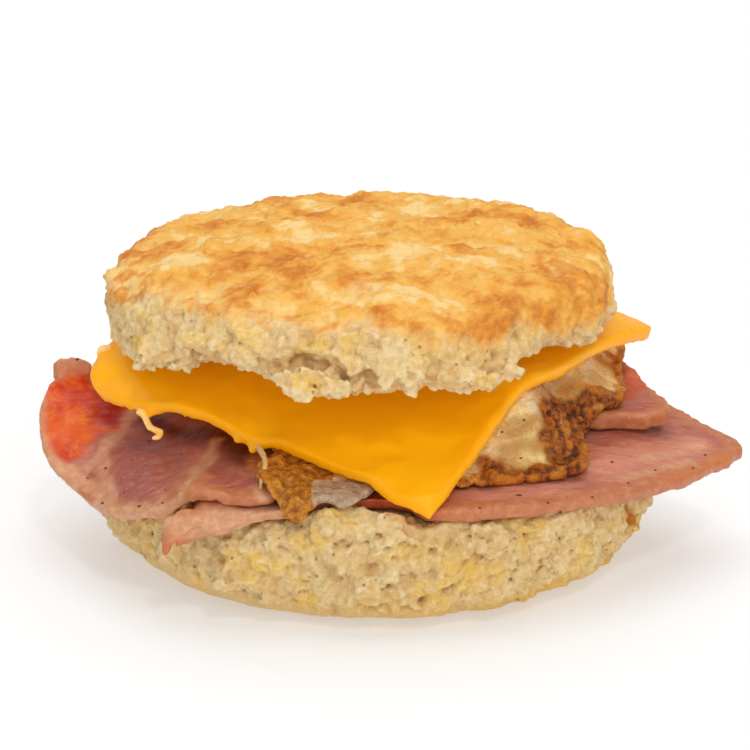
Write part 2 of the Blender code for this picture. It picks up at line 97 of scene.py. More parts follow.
# %% [markdown]
# ## Fine, even copies of the solids
#
# Relief needs many small faces of equal size. A voxel remesh gives them, and a few passes of smoothing take
# the facets of the plain solid away. Subdivision would be the other way, but it keeps the long thin faces of
# the solid, and noise on those looks combed. A remesh also melts a small extra lump into the body, so flakes
# that hang off a rim are simply added to the copy first.

# %% Helpers for meshes
def baked(piece):
    """Makes what the modifiers show the piece's own mesh."""
    graph = bpy.context.evaluated_depsgraph_get()
    shown = bpy.data.meshes.new_from_object(piece.evaluated_get(graph))
    plain = piece.data
    piece.modifiers.clear()
    piece.data = shown
    bpy.data.meshes.remove(plain)
    return piece


def remeshed(piece, square, passes):
    """Rebuilds the piece in squares of that size in mm, and smooths it that often."""
    squares = piece.modifiers.new("squares", "REMESH")
    squares.mode = "VOXEL"
    squares.voxel_size = square * MM
    calm = piece.modifiers.new("calm", "SMOOTH")
    calm.factor, calm.iterations = 0.5, passes
    return baked(piece)


def without_crumbs(piece):
    """Keeps only the largest connected part: carving can cut tiny islands off a rim."""
    joined = bmesh.new()
    joined.from_mesh(piece.data)
    left, parts = set(joined.verts), []
    while left:
        queue = [left.pop()]
        part = list(queue)
        while queue:
            for edge in queue.pop().link_edges:
                for vertex in edge.verts:
                    if vertex in left:
                        left.remove(vertex)
                        queue.append(vertex)
                        part.append(vertex)
        parts.append(part)
    parts.sort(key=len)
    bmesh.ops.delete(joined, geom=[v for part in parts[:-1] for v in part], context="VERTS")
    joined.to_mesh(piece.data)
    joined.free()
    return piece


def linked(name, mesh):
    piece = bpy.data.objects.new(name, mesh)
    bpy.context.scene.collection.objects.link(piece)
    return piece


def lump(body, centre, half_sizes, rough=0.0):
    """Adds a small rounded lump to a mesh in the making; centre and half sizes are in mm."""
    made = bmesh.ops.create_icosphere(body, subdivisions=2, radius=1.0)["verts"]
    for vertex in made:
        swollen = 1 + rough * noise.noise(vertex.co * 1.7 + Vector(centre))
        vertex.co = Vector(c + h * p * swollen for c, h, p in zip(centre, half_sizes, vertex.co)) * MM
    return made


def fine_copy(node, name, square, passes, extra=()):
    """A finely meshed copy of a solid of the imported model, with extra lumps melted into it."""
    piece = linked(name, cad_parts[node].data.copy())
    joined = bmesh.new()
    joined.from_mesh(piece.data)
    bmesh.ops.remove_doubles(joined, verts=joined.verts, dist=1e-7)
    joined.to_mesh(piece.data)
    joined.free()
    return remeshed(with_lumps(piece, extra), square, passes)


def with_lumps(piece, extra, rough=0.5):
    """Adds lumps, each a (centre, half sizes) pair in mm, for the next remesh to melt in."""
    joined = bmesh.new()
    joined.from_mesh(piece.data)
    for centre, half_sizes in extra:
        lump(joined, centre, half_sizes, rough)
    joined.to_mesh(piece.data)
    joined.free()
    return piece


def places(piece):
    """Where the corners of the mesh are, in mm."""
    flat = np.empty(len(piece.data.vertices) * 3, np.float32)
    piece.data.vertices.foreach_get("co", flat)
    return flat.reshape(-1, 3).astype(float) / MM


def facings(piece):
    """Which way the surface faces at each corner."""
    flat = np.empty(len(piece.data.vertices) * 3, np.float32)
    piece.data.vertex_normals.foreach_get("vector", flat)
    return flat.reshape(-1, 3).astype(float)


def put(piece, points):
    piece.data.vertices.foreach_set("co", (points * MM).astype(np.float32).ravel())
    piece.data.update()


def note(piece, name, values):
    """Writes a value from 0 to 1 on each corner, for the material to read."""
    kept = piece.data.attributes.get(name) or piece.data.attributes.new(name, "FLOAT", "POINT")
    kept.data.foreach_set("value", np.clip(values, 0, 1).astype(np.float32))


def step(values, low, high):
    """0 below low, 1 above high, and a smooth rise between them."""
    share = np.clip((values - low) / (high - low), 0, 1)
    return share * share * (3 - 2 * share)


print("helpers for meshes are ready")

# %% [markdown]
# ## Noise for food
#
# Three kinds of noise make nearly all of it. Gradient noise gives soft swells. Its absolute value gives
# rounded swells with sharp creases, as on a crust. Cell noise gives rounded curds that meet in crevices, as
# in torn crumb, and with only its deepest points it gives pores. The vector noise starts from a seed that is
# taken from the clock unless one is set, so it is set here and the sandwich comes out the same every time.

# %% Noise helpers
noise.seed_set(3)


def swell(points, size, seed=0.0):
    """Soft noise from -1 to 1, whose waves are about that size in mm."""
    return np.array([noise.noise(p) for p in (points / size + seed).tolist()])


def rolling(points, size, octaves=4, seed=0.0, calm=0.85):
    """Noise with finer and finer waves on it; the lower calm is, the stronger the fine ones."""
    return np.array([noise.fractal(p, calm, 2.0, octaves) for p in (points / size + seed).tolist()])


def drift(points, size, seed=0.0):
    """A soft push in some direction at each point, which breaks up what looks too even."""
    return np.array([noise.noise_vector(p) for p in (points / size + seed).tolist()])


CURD_MIDDLE = 0.66


def curds(points, size, seed=0.0):
    """Rounded lumps of that size that meet in sharp crevices: about 0.3 on a lump, and -0.7 in a crevice."""
    nearest = np.array([noise.voronoi(p)[0][0] for p in (points / size + seed).tolist()])
    return 1 - np.minimum(1.25 * nearest * nearest, 1.35) - CURD_MIDDLE


def pores(points, spacing, share, smallest, largest, seed=0.0):
    """How deep each point is in a round pore: 0 outside, 1 at its middle. Only a share of the cells has one."""
    distance = np.empty(len(points))
    centre = np.empty((len(points), 3))
    for i, p in enumerate((points / spacing + seed).tolist()):
        found = noise.voronoi(p)
        distance[i] = found[0][0]
        centre[i] = found[1][0]
    luck = np.modf(np.abs(np.sin(centre @ np.array([12.99, 78.23, 37.72])) * 4375.85))[0]
    size = np.modf(luck * 91.7)[0] * (largest - smallest) + smallest
    inside = np.clip(1 - distance * spacing / size, 0, 1)
    return np.where(luck < share, inside, 0)


print("noise helpers are ready")

# %% [markdown]
# ## Room between the layers
#
# The layers lie on each other, so a lump may only grow where there is room. For each corner of a piece this
# cell measures how far it is to the other solids, and growth stops half way there. Both neighbours then
# stay clear of each other, however rough they get.

# %% Growing within the room there is
def solid_tree(nodes):
    """A search tree over the faces of these solids, in mm."""
    corners, faces = [], []
    for name in nodes:
        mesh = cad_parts[name].data
        start = len(corners)
        corners += [v.co / MM for v in mesh.vertices]
        faces += [[start + i for i in f.vertices] for f in mesh.polygons]
    return BVHTree.FromPolygons(corners, faces)


def room(points, node, furthest=6.0):
    """How far each point is from the other solids, in mm."""
    others = solid_tree(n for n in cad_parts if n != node)
    found = (others.find_nearest(p, furthest)[3] for p in points.tolist())
    return np.array([furthest if d is None else d for d in found])


def grow(piece, node, height, sideways=None):
    """Moves each corner outwards by height in mm, or inwards where it is below 0, and pushes it sideways."""
    points = places(piece)
    free = 0.5 * room(points, node)
    move = facings(piece) * np.minimum(height, free)[:, None]
    if sideways is not None:
        length = np.linalg.norm(sideways, axis=1) + 1e-9
        move += sideways * np.minimum(1, np.maximum(free - np.abs(height), 0) / length)[:, None]
    points += move
    points[:, 2] = np.maximum(points[:, 2], 0)
    put(piece, points)


def seen_on(piece):
    """A function that gives where the sight line through a point of the picture lands on the piece, in mm."""
    tree = BVHTree.FromPolygons(
        [v.co / MM for v in piece.data.vertices], [f.vertices[:] for f in piece.data.polygons]
    )

    def look(across, down):
        spot = tree.ray_cast(eye, sight_line(across, down))[0]
        return spot or tree.find_nearest(eye + sight_line(across, down) * CAMERA_DISTANCE)[0]

    return look


def near_line(points, line, width, fade=0.5):
    """1 on a line through 3-D points and 0 beyond its width in mm; the share fade of the width is its soft edge."""
    nearest = np.full(len(points), 1e9)
    for start, end in zip(line, line[1:] if len(line) > 1 else line):
        start, along = np.array(start), np.array(end) - np.array(start)
        share = np.clip((points - start) @ along / max(along @ along, 1e-9), 0, 1)
        nearest = np.minimum(nearest, np.linalg.norm(points - start - share[:, None] * along, axis=1))
    return 1 - step(nearest, width * (1 - fade), width)


def lines_seen(points, look, lines, width, fade=0.5):
    """The same for several lines through points of the picture."""
    return np.maximum.reduce([near_line(points, [look(*spot) for spot in line], width, fade) for line in lines])


def dimples(points, look, spots):
    """How deep each point is in one of the round hollows: 1 at its middle. A spot is (across, down, radius)."""
    depth = np.zeros(len(points))
    for across, down, radius in spots:
        depth = np.maximum(depth, 1 - np.linalg.norm(points - np.array(look(across, down)), axis=1) / radius)
    return depth


print("room between layers can be measured")

# %% [markdown]
# ## Building materials from code
#
# A material is a small net of nodes. These helpers keep each step of it to one line. Every texture is
# placed by the object's own coordinates, which are metres here, so a size in mm is a real size.

# %% Helpers for materials
def wire(tree, value, socket):
    """Joins a socket to another one's output, or sets it to a plain value."""
    if isinstance(value, bpy.types.NodeSocket):
        tree.links.new(value, socket)
    else:
        socket.default_value = value


def shader(tree, kind, inputs=None, **settings):
    made = tree.nodes.new("ShaderNode" + kind)
    for name, value in settings.items():
        setattr(made, name, value)
    for name, value in (inputs or {}).items():
        wire(tree, value, made.inputs[name])
    return made


def noted(tree, name):
    """A value that was written on the mesh."""
    return shader(tree, "Attribute", attribute_name=name).outputs["Fac"]


def fleck(tree, place, size, detail=3.0, roughness=0.55):
    """Noise from 0 to 1 with waves of that size in mm."""
    made = shader(tree, "TexNoise", {"Vector": place, "Scale": 1 / (size * MM), "Detail": detail, "Roughness": roughness})
    return made.outputs["Fac"]


def cells(tree, place, size):
    """Distance to the nearest of many scattered points, 0 at a point, with cells of that size in mm."""
    return shader(tree, "TexVoronoi", {"Vector": place, "Scale": 1 / (size * MM)}).outputs["Distance"]


def window(tree, value, low, high, start=0.0, end=1.0):
    """Turns what lies from low to high into start to end, with soft ends."""
    made = shader(
        tree,
        "MapRange",
        {"Value": value, "From Min": low, "From Max": high, "To Min": start, "To Max": end},
        interpolation_type="SMOOTHSTEP",
    )
    return made.outputs["Result"]


def sums(tree, operation, first, second):
    made = shader(tree, "Math", operation=operation, use_clamp=operation == "ADD")
    wire(tree, first, made.inputs[0])
    wire(tree, second, made.inputs[1])
    return made.outputs[0]


def part_of(tree, value, share):
    return sums(tree, "MULTIPLY", value, share)


def tint(tree, share, below, above):
    """One colour turning into another."""
    made = shader(tree, "Mix", data_type="RGBA")
    for socket, value in ((0, share), (6, below), (7, above)):
        wire(tree, value, made.inputs[socket])
    return made.outputs[2]


def rgb(red, green, blue):
    return (red, green, blue, 1.0)


def new_group(name, inputs, outputs):
    """An empty node group with named sockets. A socket is a (name, kind) pair."""
    tree = bpy.data.node_groups.new(name, "ShaderNodeTree")
    for socket, kind in inputs:
        tree.interface.new_socket(name=socket, in_out="INPUT", socket_type="NodeSocket" + kind)
    for socket, kind in outputs:
        tree.interface.new_socket(name=socket, in_out="OUTPUT", socket_type="NodeSocket" + kind)
    return tree, tree.nodes.new("NodeGroupInput").outputs, tree.nodes.new("NodeGroupOutput").inputs


def placed(tree, group, **inputs):
    """Places a node group in a material with its own values."""
    made = tree.nodes.new("ShaderNodeGroup")
    made.node_tree = group
    for name, value in inputs.items():
        wire(tree, value, made.inputs[name])
    return made.outputs


def new_material(name, **constants):
    """A material with its shader; the constants are set on the shader's own sockets."""
    material = bpy.data.materials.new(name)
    material.use_nodes = True
    tree = material.node_tree
    surface = tree.nodes["Principled BSDF"]
    for socket, value in constants.items():
        surface.inputs[socket.replace("_", " ")].default_value = value
    place = shader(tree, "TexCoord").outputs["Object"]
    return material, tree, surface, place


def bumped(tree, surface, height, depth, strength=1.0):
    """Fine relief from a height of 0 to 1, which stands for that depth in mm."""
    made = shader(tree, "Bump", {"Height": height, "Distance": depth * MM, "Strength": strength})
    tree.links.new(made.outputs["Normal"], surface.inputs["Normal"])


def dressed(piece, node, material):
    """Gives the piece its finish and puts it in place of its solid."""
    piece.data.materials.clear()
    piece.data.materials.append(material)
    piece.data.polygons.foreach_set("use_smooth", [True] * len(piece.data.polygons))
    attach(piece, "root")
    if node:
        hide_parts(node)


print("helpers for materials are ready")

# %% [markdown]
# ## Crumb, shared by both halves of the biscuit
#
# Biscuit crumb is cream-coloured, yellow where butter melted. Both halves show it, so it is one node group.
# Some of its colour is painted light: raised curds get a painted highlight, and the hollows and small pores
# get painted shade, because little light gets out of them. The mesh says where the big hollows, the raised
# curds and the butter are, and the group adds what is too fine for the mesh: curds of half a millimetre,
# each with a painted shadow line in the low spots of its grain, and clusters of pinholes painted dark.

# %% Node group: crumb
def crumb_group():
    tree, given, out = new_group(
        "crumb",
        [("Place", "Vector"), ("Hollow_shade", "Float"), ("Proud_highlight", "Float"), ("Butter", "Float"), ("Warmth", "Float")],
        [("Color", "Color"), ("Height", "Float")],
    )
    place = given["Place"]
    cloud = window(tree, fleck(tree, place, 6, 4), 0.36, 0.66)
    grain = fleck(tree, place, 1.3, 5, 0.68)
    tiny = window(tree, cells(tree, place, 1.5), 0.0, 0.8)
    pinholes = sums(
        tree, "MULTIPLY", window(tree, cells(tree, place, 1.9), 0.2, 0.1), window(tree, fleck(tree, place, 5, 1), 0.52, 0.62)
    )
    pale = tint(tree, given["Warmth"], rgb(0.89, 0.67, 0.34), rgb(0.87, 0.645, 0.315))
    deeper = tint(tree, given["Warmth"], rgb(0.82, 0.54, 0.235), rgb(0.81, 0.535, 0.215))
    color = tint(tree, cloud, deeper, pale)
    # Painted highlight: raised curds are made lighter.
    color = tint(tree, part_of(tree, given["Proud_highlight"], 0.5), color, rgb(0.96, 0.80, 0.50))
    buttered = sums(tree, "MULTIPLY", given["Butter"], window(tree, fleck(tree, place, 2.4, 3), 0.3, 0.6, 0.45, 1.0))
    color = tint(tree, buttered, color, rgb(0.92, 0.60, 0.16))
    # Painted shade and highlight: the fine grain, which is also the relief, is darker in its low spots and lighter on
    # its high ones.
    color = tint(tree, window(tree, grain, 0.52, 0.3, 0.0, 0.5), color, rgb(0.64, 0.40, 0.17))
    color = tint(tree, window(tree, grain, 0.5, 0.68, 0.0, 0.5), color, rgb(0.98, 0.86, 0.58))
    # Painted shade: hollows and pores are darkened.
    color = tint(tree, part_of(tree, given["Hollow_shade"], 0.85), color, rgb(0.60, 0.36, 0.16))
    color = tint(tree, window(tree, given["Hollow_shade"], 0.72, 1.0, 0.0, 0.75), color, rgb(0.28, 0.13, 0.04))
    # Painted shade: the pinholes are darkened.
    color = tint(tree, part_of(tree, pinholes, 0.5), color, rgb(0.36, 0.19, 0.07))
    wire(tree, color, out["Color"])
    rounded = sums(tree, "SUBTRACT", 1.0, tiny)
    height = sums(tree, "ADD", part_of(tree, rounded, 0.25), part_of(tree, grain, 0.75))
    wire(tree, sums(tree, "SUBTRACT", height, part_of(tree, pinholes, 0.6)), out["Height"])
    return tree


CRUMB = crumb_group()
print("node group:", CRUMB.name)

# %% [markdown]
# ## Node group: patches
#
# Toasted spots, tan mottling on the egg and marbling in the meat are all patches with a soft ragged edge.
# One group makes them at any size, and each material says how much of the surface they take.

# %% Node group: patches
def patches_group():
    tree, given, out = new_group(
        "patches", [("Place", "Vector"), ("Scale", "Float"), ("Least", "Float"), ("Most", "Float")], [("Mask", "Float")]
    )
    cloud = shader(tree, "TexNoise", {"Vector": given["Place"], "Scale": given["Scale"], "Detail": 5.0, "Roughness": 0.6})
    mask = shader(
        tree,
        "MapRange",
        {"Value": cloud.outputs["Fac"], "From Min": given["Least"], "From Max": given["Most"]},
        interpolation_type="SMOOTHSTEP",
    )
    wire(tree, mask.outputs["Result"], out["Mask"])
    return tree


PATCHES = patches_group()


def patches(tree, place, size, least, most):
    return placed(tree, PATCHES, Place=place, Scale=1 / (size * MM), Least=least, Most=most)["Mask"]


print("node group:", PATCHES.name)

# %% [markdown]
# ## Torn crumb
#
# Crumb that was torn, not cut, is all curds: big ones with smaller ones on them. Cell noise of four sizes
# gives them. The two coarse sizes go in first and the mesh is rebuilt, so that overhanging curds get clean
# faces. Then the fine ones go in. A sideways push makes them fluffy, where moving straight out along the
# surface would leave them like paving stones.

# %% Torn crumb: relief
def torn_relief(points, seed):
    """The height of torn crumb in mm, before the finest grain."""
    pulled = points + 1.9 * drift(points, 6.0, seed)
    return 2.1 * curds(pulled, 7.0, seed) + 1.5 * curds(pulled, 3.5, seed + 5)


def fine_relief(points, seed):
    pulled = points + 0.5 * drift(points, 1.8, seed)
    return 1.0 * curds(pulled, 1.9, seed) + 0.34 * swell(points, 0.9, seed)


def hollows(piece, passes, deepest):
    """1 where the surface lies that many mm below its own smoothed shape, -1 where it stands as far above it."""
    smooth = linked("smooth", piece.data.copy())
    calm = smooth.modifiers.new("calm", "SMOOTH")
    calm.factor, calm.iterations = 0.5, passes
    below = ((places(baked(smooth)) - places(piece)) * facings(smooth)).sum(axis=1)
    bpy.data.objects.remove(smooth)
    return np.clip(below / deepest, -1, 1)


print("relief for torn crumb is ready")

# %% [markdown]
# ## The bottom half of the biscuit
#
# Its side is softer than the top half's: doughy lumps and upright folds, craters where air bubbles opened,
# and clusters of pores. The lowest few millimetres touched the baking tray and are a smooth tan skin, which
# rises higher at the left. The craters that are plain to see in front are put where they are on the real one.

# %% Bottom biscuit: shape
BOTTOM_SQUARE = 0.6
CRATERS = [
    (326, 572, 2.4), (343, 587, 2.9), (371, 569, 1.7), (389, 592, 2.0), (306, 594, 1.5), (408, 583, 1.8),
    (451, 545, 1.6), (419, 550, 1.2), (434, 574, 1.5), (254, 596, 1.6), (230, 575, 1.4), (283, 548, 1.5),
]
PORES = [
    (335, 606, 0.8), (362, 606, 0.9), (371, 607, 0.8), (380, 605, 0.8), (422, 602, 1.0), (444, 592, 0.8),
    (454, 586, 0.8), (348, 545, 0.8), (378, 535, 0.8), (388, 550, 0.9), (366, 544, 0.8), (337, 545, 0.8),
    (467, 537, 0.8), (481, 537, 0.9), (507, 550, 1.0), (528, 537, 0.8), (562, 539, 0.9), (593, 527, 0.8),
    (551, 556, 0.9), (543, 562, 1.0), (486, 562, 1.1), (450, 590, 0.9), (511, 581, 1.1), (553, 571, 0.9),
    (604, 548, 0.9), (388, 590, 0.8), (538, 574, 0.9), (520, 562, 0.8), (573, 552, 0.8), (300, 560, 0.8),
]
FOLDS = [
    [(126, 523), (130, 535), (139, 545)], [(148, 527), (146, 545), (156, 558)], [(186, 548), (192, 568), (204, 582)],
    [(214, 540), (222, 560)], [(404, 524), (414, 534), (440, 540)], [(262, 530), (258, 545)],
]
MOUNDS = [[(330, 520), (360, 518)], [(446, 524), (470, 524)], [(236, 548), (262, 545)], [(300, 528), (312, 526)]]


def bottom_skin(points):
    """1 on the smooth skin near the tray, 0 on torn crumb."""
    turned = np.arctan2(points[:, 1], points[:, 0])
    left = np.exp(-(((turned + 2.45) / 0.42) ** 2))
    height = 2.6 + 1.6 * swell(points, 11, 3.0) + 5.0 * left
    return 1 - step(points[:, 2], height - 1.2, height + 1.8)


on_solid = seen_on(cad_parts["biscuit_bottom"])
RISING = [(312, 527, 2.0), (328, 525, 2.4), (345, 523, 2.6), (362, 525, 2.3), (380, 527, 2.0), (398, 527, 1.6), (232, 545, 1.9), (206, 553, 1.6)]
mounds = [(on_solid(across, down) + Vector((0, 0.6, 0.9)), (1.1 * r, r, r)) for across, down, r in RISING]
bottom = fine_copy("biscuit_bottom", "bottom_biscuit", 0.9, 5, mounds)
look = seen_on(bottom)
points = places(bottom)
free = step(points[:, 2], 0.4, 3.0)
skin = bottom_skin(points)
upright = points * np.array([1, 1, 0.45])
height = 2.1 * curds(upright + 1.6 * drift(points, 6.0, 11.0), 7.5, 11.0) + 1.4 * curds(points, 3.8, 16.0)
height = height * (1 - 0.85 * skin) + 0.55 * rolling(points, 9, 3, 4.0)
height += 1.3 * lines_seen(points, look, MOUNDS, 4.5, 0.9) - 1.2 * lines_seen(points, look, FOLDS, 1.6, 0.9)
grow(bottom, "biscuit_bottom", height * free, 0.8 * drift(points, 3.0, 9.0) * (free * (1 - skin))[:, None])
without_crumbs(remeshed(bottom, BOTTOM_SQUARE, 1))

# %% Bottom biscuit: craters, pores and notes
look = seen_on(bottom)
points = places(bottom)
free = step(points[:, 2], 0.3, 1.5)
skin = bottom_skin(points)
ragged = points + 0.6 * drift(points, 1.6, 2.0)
craters = np.sqrt(np.clip(dimples(ragged, look, CRATERS), 0, 1))
holes = np.maximum.reduce(
    [
        dimples(points, look, PORES),
        pores(points, 5.2, 0.2, 0.8, 1.7, 21.0) * (1 - 0.8 * skin),
        pores(points, 2.6, 0.16, 0.4, 0.9, 5.0) * (1 - 0.8 * skin),
    ]
)
height = fine_relief(points, 31.0) * (1.15 - skin)
grow(bottom, "biscuit_bottom", (height - 1.5 * craters - 1.3 * np.sqrt(holes) * step(holes, 0, 0.3)) * free)

points = places(bottom)
deep = hollows(bottom, 30, 1.3)
azimuth = np.degrees(np.arctan2(points[:, 1], points[:, 0]))
band = step(azimuth, -130, -50) * (1 - step(azimuth, 15, 40)) + 0.6 * step(np.abs(azimuth), 120, 160)
golden_band = band * (1 - step(points[:, 2], 3.5, 7.5)) * (0.7 + 0.6 * rolling(points, 7, 3, 8.0))
# Painted shade in crevices, pores and craters, and a painted highlight on raised curds, both read by the crumb group.
note(bottom, "hollow_shade", np.maximum.reduce([0.9 * step(deep, 0.1, 0.9), step(holes, 0.2, 0.7), 0.4 * craters]))
note(bottom, "proud_highlight", step(-deep, 0.1, 0.9))
note(bottom, "skin", skin)
BUTTERED = [[(252, 560), (262, 566)], [(452, 567), (474, 569)], [(300, 545), (318, 540)], [(420, 590), (440, 600)]]
butter = np.maximum(step(rolling(points, 8.0, 4, 40.0), 0.1, 0.7), lines_seen(ragged, look, BUTTERED, 3.2, 0.8))
note(bottom, "butter", butter)
note(bottom, "golden", np.maximum(golden_band, lines_seen(ragged, look, [[(455, 568), (468, 569)]], 1.8, 0.8)))
note(bottom, "toast", lines_seen(ragged, look, [[(627, 510), (632, 522)]], 2.0, 0.6))
print("bottom biscuit:", len(bottom.data.polygons), "squares")

# %% Bottom biscuit: finish
def bottom_material():
    material, tree, surface, place = new_material(
        "bottom_biscuit_crumb", Roughness=0.9, Specular_IOR_Level=0.1, Subsurface_Weight=0.12, Subsurface_Scale=0.0008
    )
    surface.inputs["Subsurface Radius"].default_value = (1.0, 0.6, 0.3)
    inputs = {name: noted(tree, name.lower()) for name in ("Hollow_shade", "Proud_highlight", "Butter")}
    crumb = placed(tree, CRUMB, Place=place, Warmth=1.0, **inputs)
    tan = tint(tree, patches(tree, place, 6, 0.4, 0.62), rgb(0.80, 0.57, 0.29), rgb(0.82, 0.52, 0.20))
    color = tint(tree, part_of(tree, noted(tree, "skin"), 0.75), crumb["Color"], tan)
    color = tint(tree, part_of(tree, noted(tree, "golden"), 0.7), color, rgb(0.86, 0.50, 0.12))
    color = tint(tree, noted(tree, "toast"), color, rgb(0.62, 0.22, 0.025))
    wire(tree, color, surface.inputs["Base Color"])
    bumped(tree, surface, crumb["Height"], 1.0, 1.0)
    return material


dressed(bottom, "biscuit_bottom", bottom_material())
print("bottom biscuit is dressed")

# %% [markdown]
# ## The top half of the biscuit
#
# The crust is a thin golden skin with creases and low swells. The swells stood closer to the oven's heat,
# so they are browner, and the creases stay pale. Below its edge the side is torn crumb like the bottom
# half's, only whiter and more ragged. The edge of the crust does not run level: it climbs at the front left,
# where more of the side tore open, and dips at the right.

# %% Top biscuit: shape
TOP_SQUARE = 0.56
TOP_MIDDLE = (-2.9, -0.8)
CRUST_EDGE_TURNS = (-180, -158, -149, -126, -101, -88, -75, -61, -52, -33, -12, 0, 60, 120, 180)
CRUST_EDGE_HEIGHTS = (55.0, 55.0, 59.0, 59.4, 59.2, 59.8, 57.7, 55.2, 55.6, 53.6, 52.0, 51.0, 53.0, 56.0, 55.0)
FLAKES = [
    ((-51.4, -6.0, 57.6), (1.8, 2.4, 1.5)), ((-52.3, -3.0, 54.6), (0.9, 1.8, 2.3)),
    ((-7.6, -50.6, 48.8), (3.2, 1.9, 2.1)), ((-14.2, -50.8, 48.3), (3.0, 1.7, 1.8)),
]
SEAMS = [
    [(256, 372), (275, 363), (300, 356), (325, 362), (345, 377), (354, 392)],
    [(427, 392), (433, 378)], [(488, 392), (494, 370)], [(372, 392), (368, 378)], [(186, 372), (196, 362)],
]
DIMPLES = [
    (259, 291, 1.7), (233, 236, 1.4), (203, 252, 1.2), (241, 268, 1.1), (364, 291, 2.2), (373, 291, 1.9),
    (412, 291, 1.8), (409, 252, 2.1), (466, 211, 1.2), (484, 226, 1.4), (505, 252, 1.5), (559, 272, 1.4),
    (540, 261, 1.6), (469, 276, 1.5), (148, 305, 1.6), (345, 238, 1.2), (300, 214, 1.2), (320, 322, 1.6),
]
TORN_SPOTS = [(366, 289, 5.5), (411, 290, 5.0), (409, 251, 5.5), (559, 272, 3.2), (505, 251, 3.6), (190, 262, 6.0)]


def crust_share(points):
    """1 on the crust, 0 on the torn side."""
    azimuth = np.degrees(np.arctan2(points[:, 1] - TOP_MIDDLE[1], points[:, 0] - TOP_MIDDLE[0]))
    edge = np.interp(azimuth, CRUST_EDGE_TURNS, CRUST_EDGE_HEIGHTS) + 2.4 * rolling(points, 8, 5, 7.0, 0.5)
    return step(points[:, 2], edge - 1.5, edge + 1.5)


def crust_relief(points):
    """Low swells, creases and small wrinkles, in mm."""
    pulled = points + 2.6 * drift(points, 10.0, 2.0)
    creased = np.abs(swell(pulled, 7.0, 13.0)) - 0.24
    wrinkled = np.abs(swell(pulled + drift(points, 2.5, 4.0), 2.7, 17.0)) - 0.24
    return 1.1 * rolling(pulled, 15.0, 2, 9.0) + 1.5 * creased + 1.1 * wrinkled


top = fine_copy("biscuit_top", "top_biscuit", 0.9, 6)
look = seen_on(top)
points = places(top)
crust = crust_share(points)
torn = 1 - crust
seams = lines_seen(points, look, SEAMS, 1.7, 0.7)
height = (torn_relief(points, 51.0) - 0.8) * torn + (crust_relief(points) - 0.3) * crust - 4.0 * seams
fringe = drift(points, 2.6, 5.0) * (1.3 * torn * (1 - step(points[:, 2], 50, 56)) + 0.5 * torn)[:, None]
grow(top, "biscuit_top", height, fringe)
without_crumbs(remeshed(with_lumps(top, FLAKES), TOP_SQUARE, 1))

# %% Top biscuit: fine relief and notes
look = seen_on(top)
points = places(top)
crust = crust_share(points)
torn = 1 - crust
ragged = points + 0.6 * drift(points, 1.5, 2.0)
pits = np.sqrt(np.clip(dimples(ragged, look, DIMPLES), 0, 1))
holes = np.maximum(pores(points, 3.2, 0.25, 0.5, 1.2, 61.0) * torn, pores(points, 8.0, 0.4, 0.5, 1.3, 71.0) * crust)
FLAKE = [[(285, 388), (335, 386)]]
holes *= 1 - lines_seen(points, look, FLAKE, 6.0, 0.3)
fine = 1.25 * fine_relief(points, 81.0) * torn + crust * 0.45 * rolling(points, 1.8, 3, 3.0)
grow(top, "biscuit_top", fine - 1.1 * np.sqrt(holes) * step(holes, 0, 0.3) - 1.2 * pits * crust)

points = places(top)
crust = crust_share(points)
deep = hollows(top, 44, 1.3)
pulled = points + 2.6 * drift(points, 10.0, 2.0)
rim = step(np.hypot(points[:, 0] - TOP_MIDDLE[0], points[:, 1] - TOP_MIDDLE[1]), 36, 48)
front_right = step(-points[:, 1] + 0.7 * points[:, 0], 5, 50)
too_brown = lines_seen(points, look, [[(470, 322), (500, 308), (525, 296)]], 8.0, 0.9)
broken = np.clip(0.8 + 1.4 * rolling(points, 4.5, 4, 55.0, 0.6), 0, 2)
heat = 0.85 * rolling(pulled, 11, 5, 90.0, 0.5) - 0.4 * deep + 0.2 * rim * front_right * broken + 0.05 * front_right - 0.2 * too_brown
spots = np.clip(dimples(points + 2.0 * drift(points, 3.2, 6.0), look, TORN_SPOTS), 0, 1)
note(top, "crust", crust)
note(top, "toast", step(heat, -0.02, 0.4) * (1 - spots))
note(top, "dark", step(heat, 0.32, 0.85) * (1 - spots))
at_edge = 1 - step(points[:, 2], 58.0, 61.5 + 1.5 * rolling(points, 5, 3, 14.0))
left_front = step(-points[:, 0] - 0.4 * points[:, 1], 0, 30)
note(top, "pale", np.maximum.reduce([step(-heat, 0.2, 0.6), 0.9 * step(spots, 0.1, 0.6), 0.75 * at_edge * left_front]))
pits = np.clip(dimples(points + 0.5 * drift(points, 1.5, 2.0), look, DIMPLES), 0, 1) * crust
# Painted shade in crevices, pores and crust dimples, read by the finish.
note(top, "hollow_shade", np.maximum.reduce([0.9 * step(deep, 0.1, 0.9), 0.7 * step(holes, 0.2, 0.8), step(pits, 0.25, 0.7)]))
# Painted shadow along the carved seams, darkest above the hanging flake.
note(top, "seam", np.maximum(lines_seen(points, look, SEAMS[:1], 1.0, 0.8), 0.4 * lines_seen(points, look, SEAMS[1:], 1.2, 0.9)))
# Painted highlight on raised curds.
note(top, "proud_highlight", step(-deep, 0.1, 0.9))
YELLOW = [[(302, 380), (318, 384)], [(478, 384), (490, 380)], [(136, 342), (140, 346)], [(318, 344), (322, 346)]]
near_crust = step(points[:, 2], 49, 57) * step(rolling(points, 6, 4, 33.0), -0.3, 0.5)
note(top, "butter", np.maximum(0.9 * near_crust, lines_seen(ragged, look, YELLOW, 2.8, 0.8)))
print("top biscuit:", len(top.data.polygons), "squares,", round(100 * float(crust.mean())), "% crust")

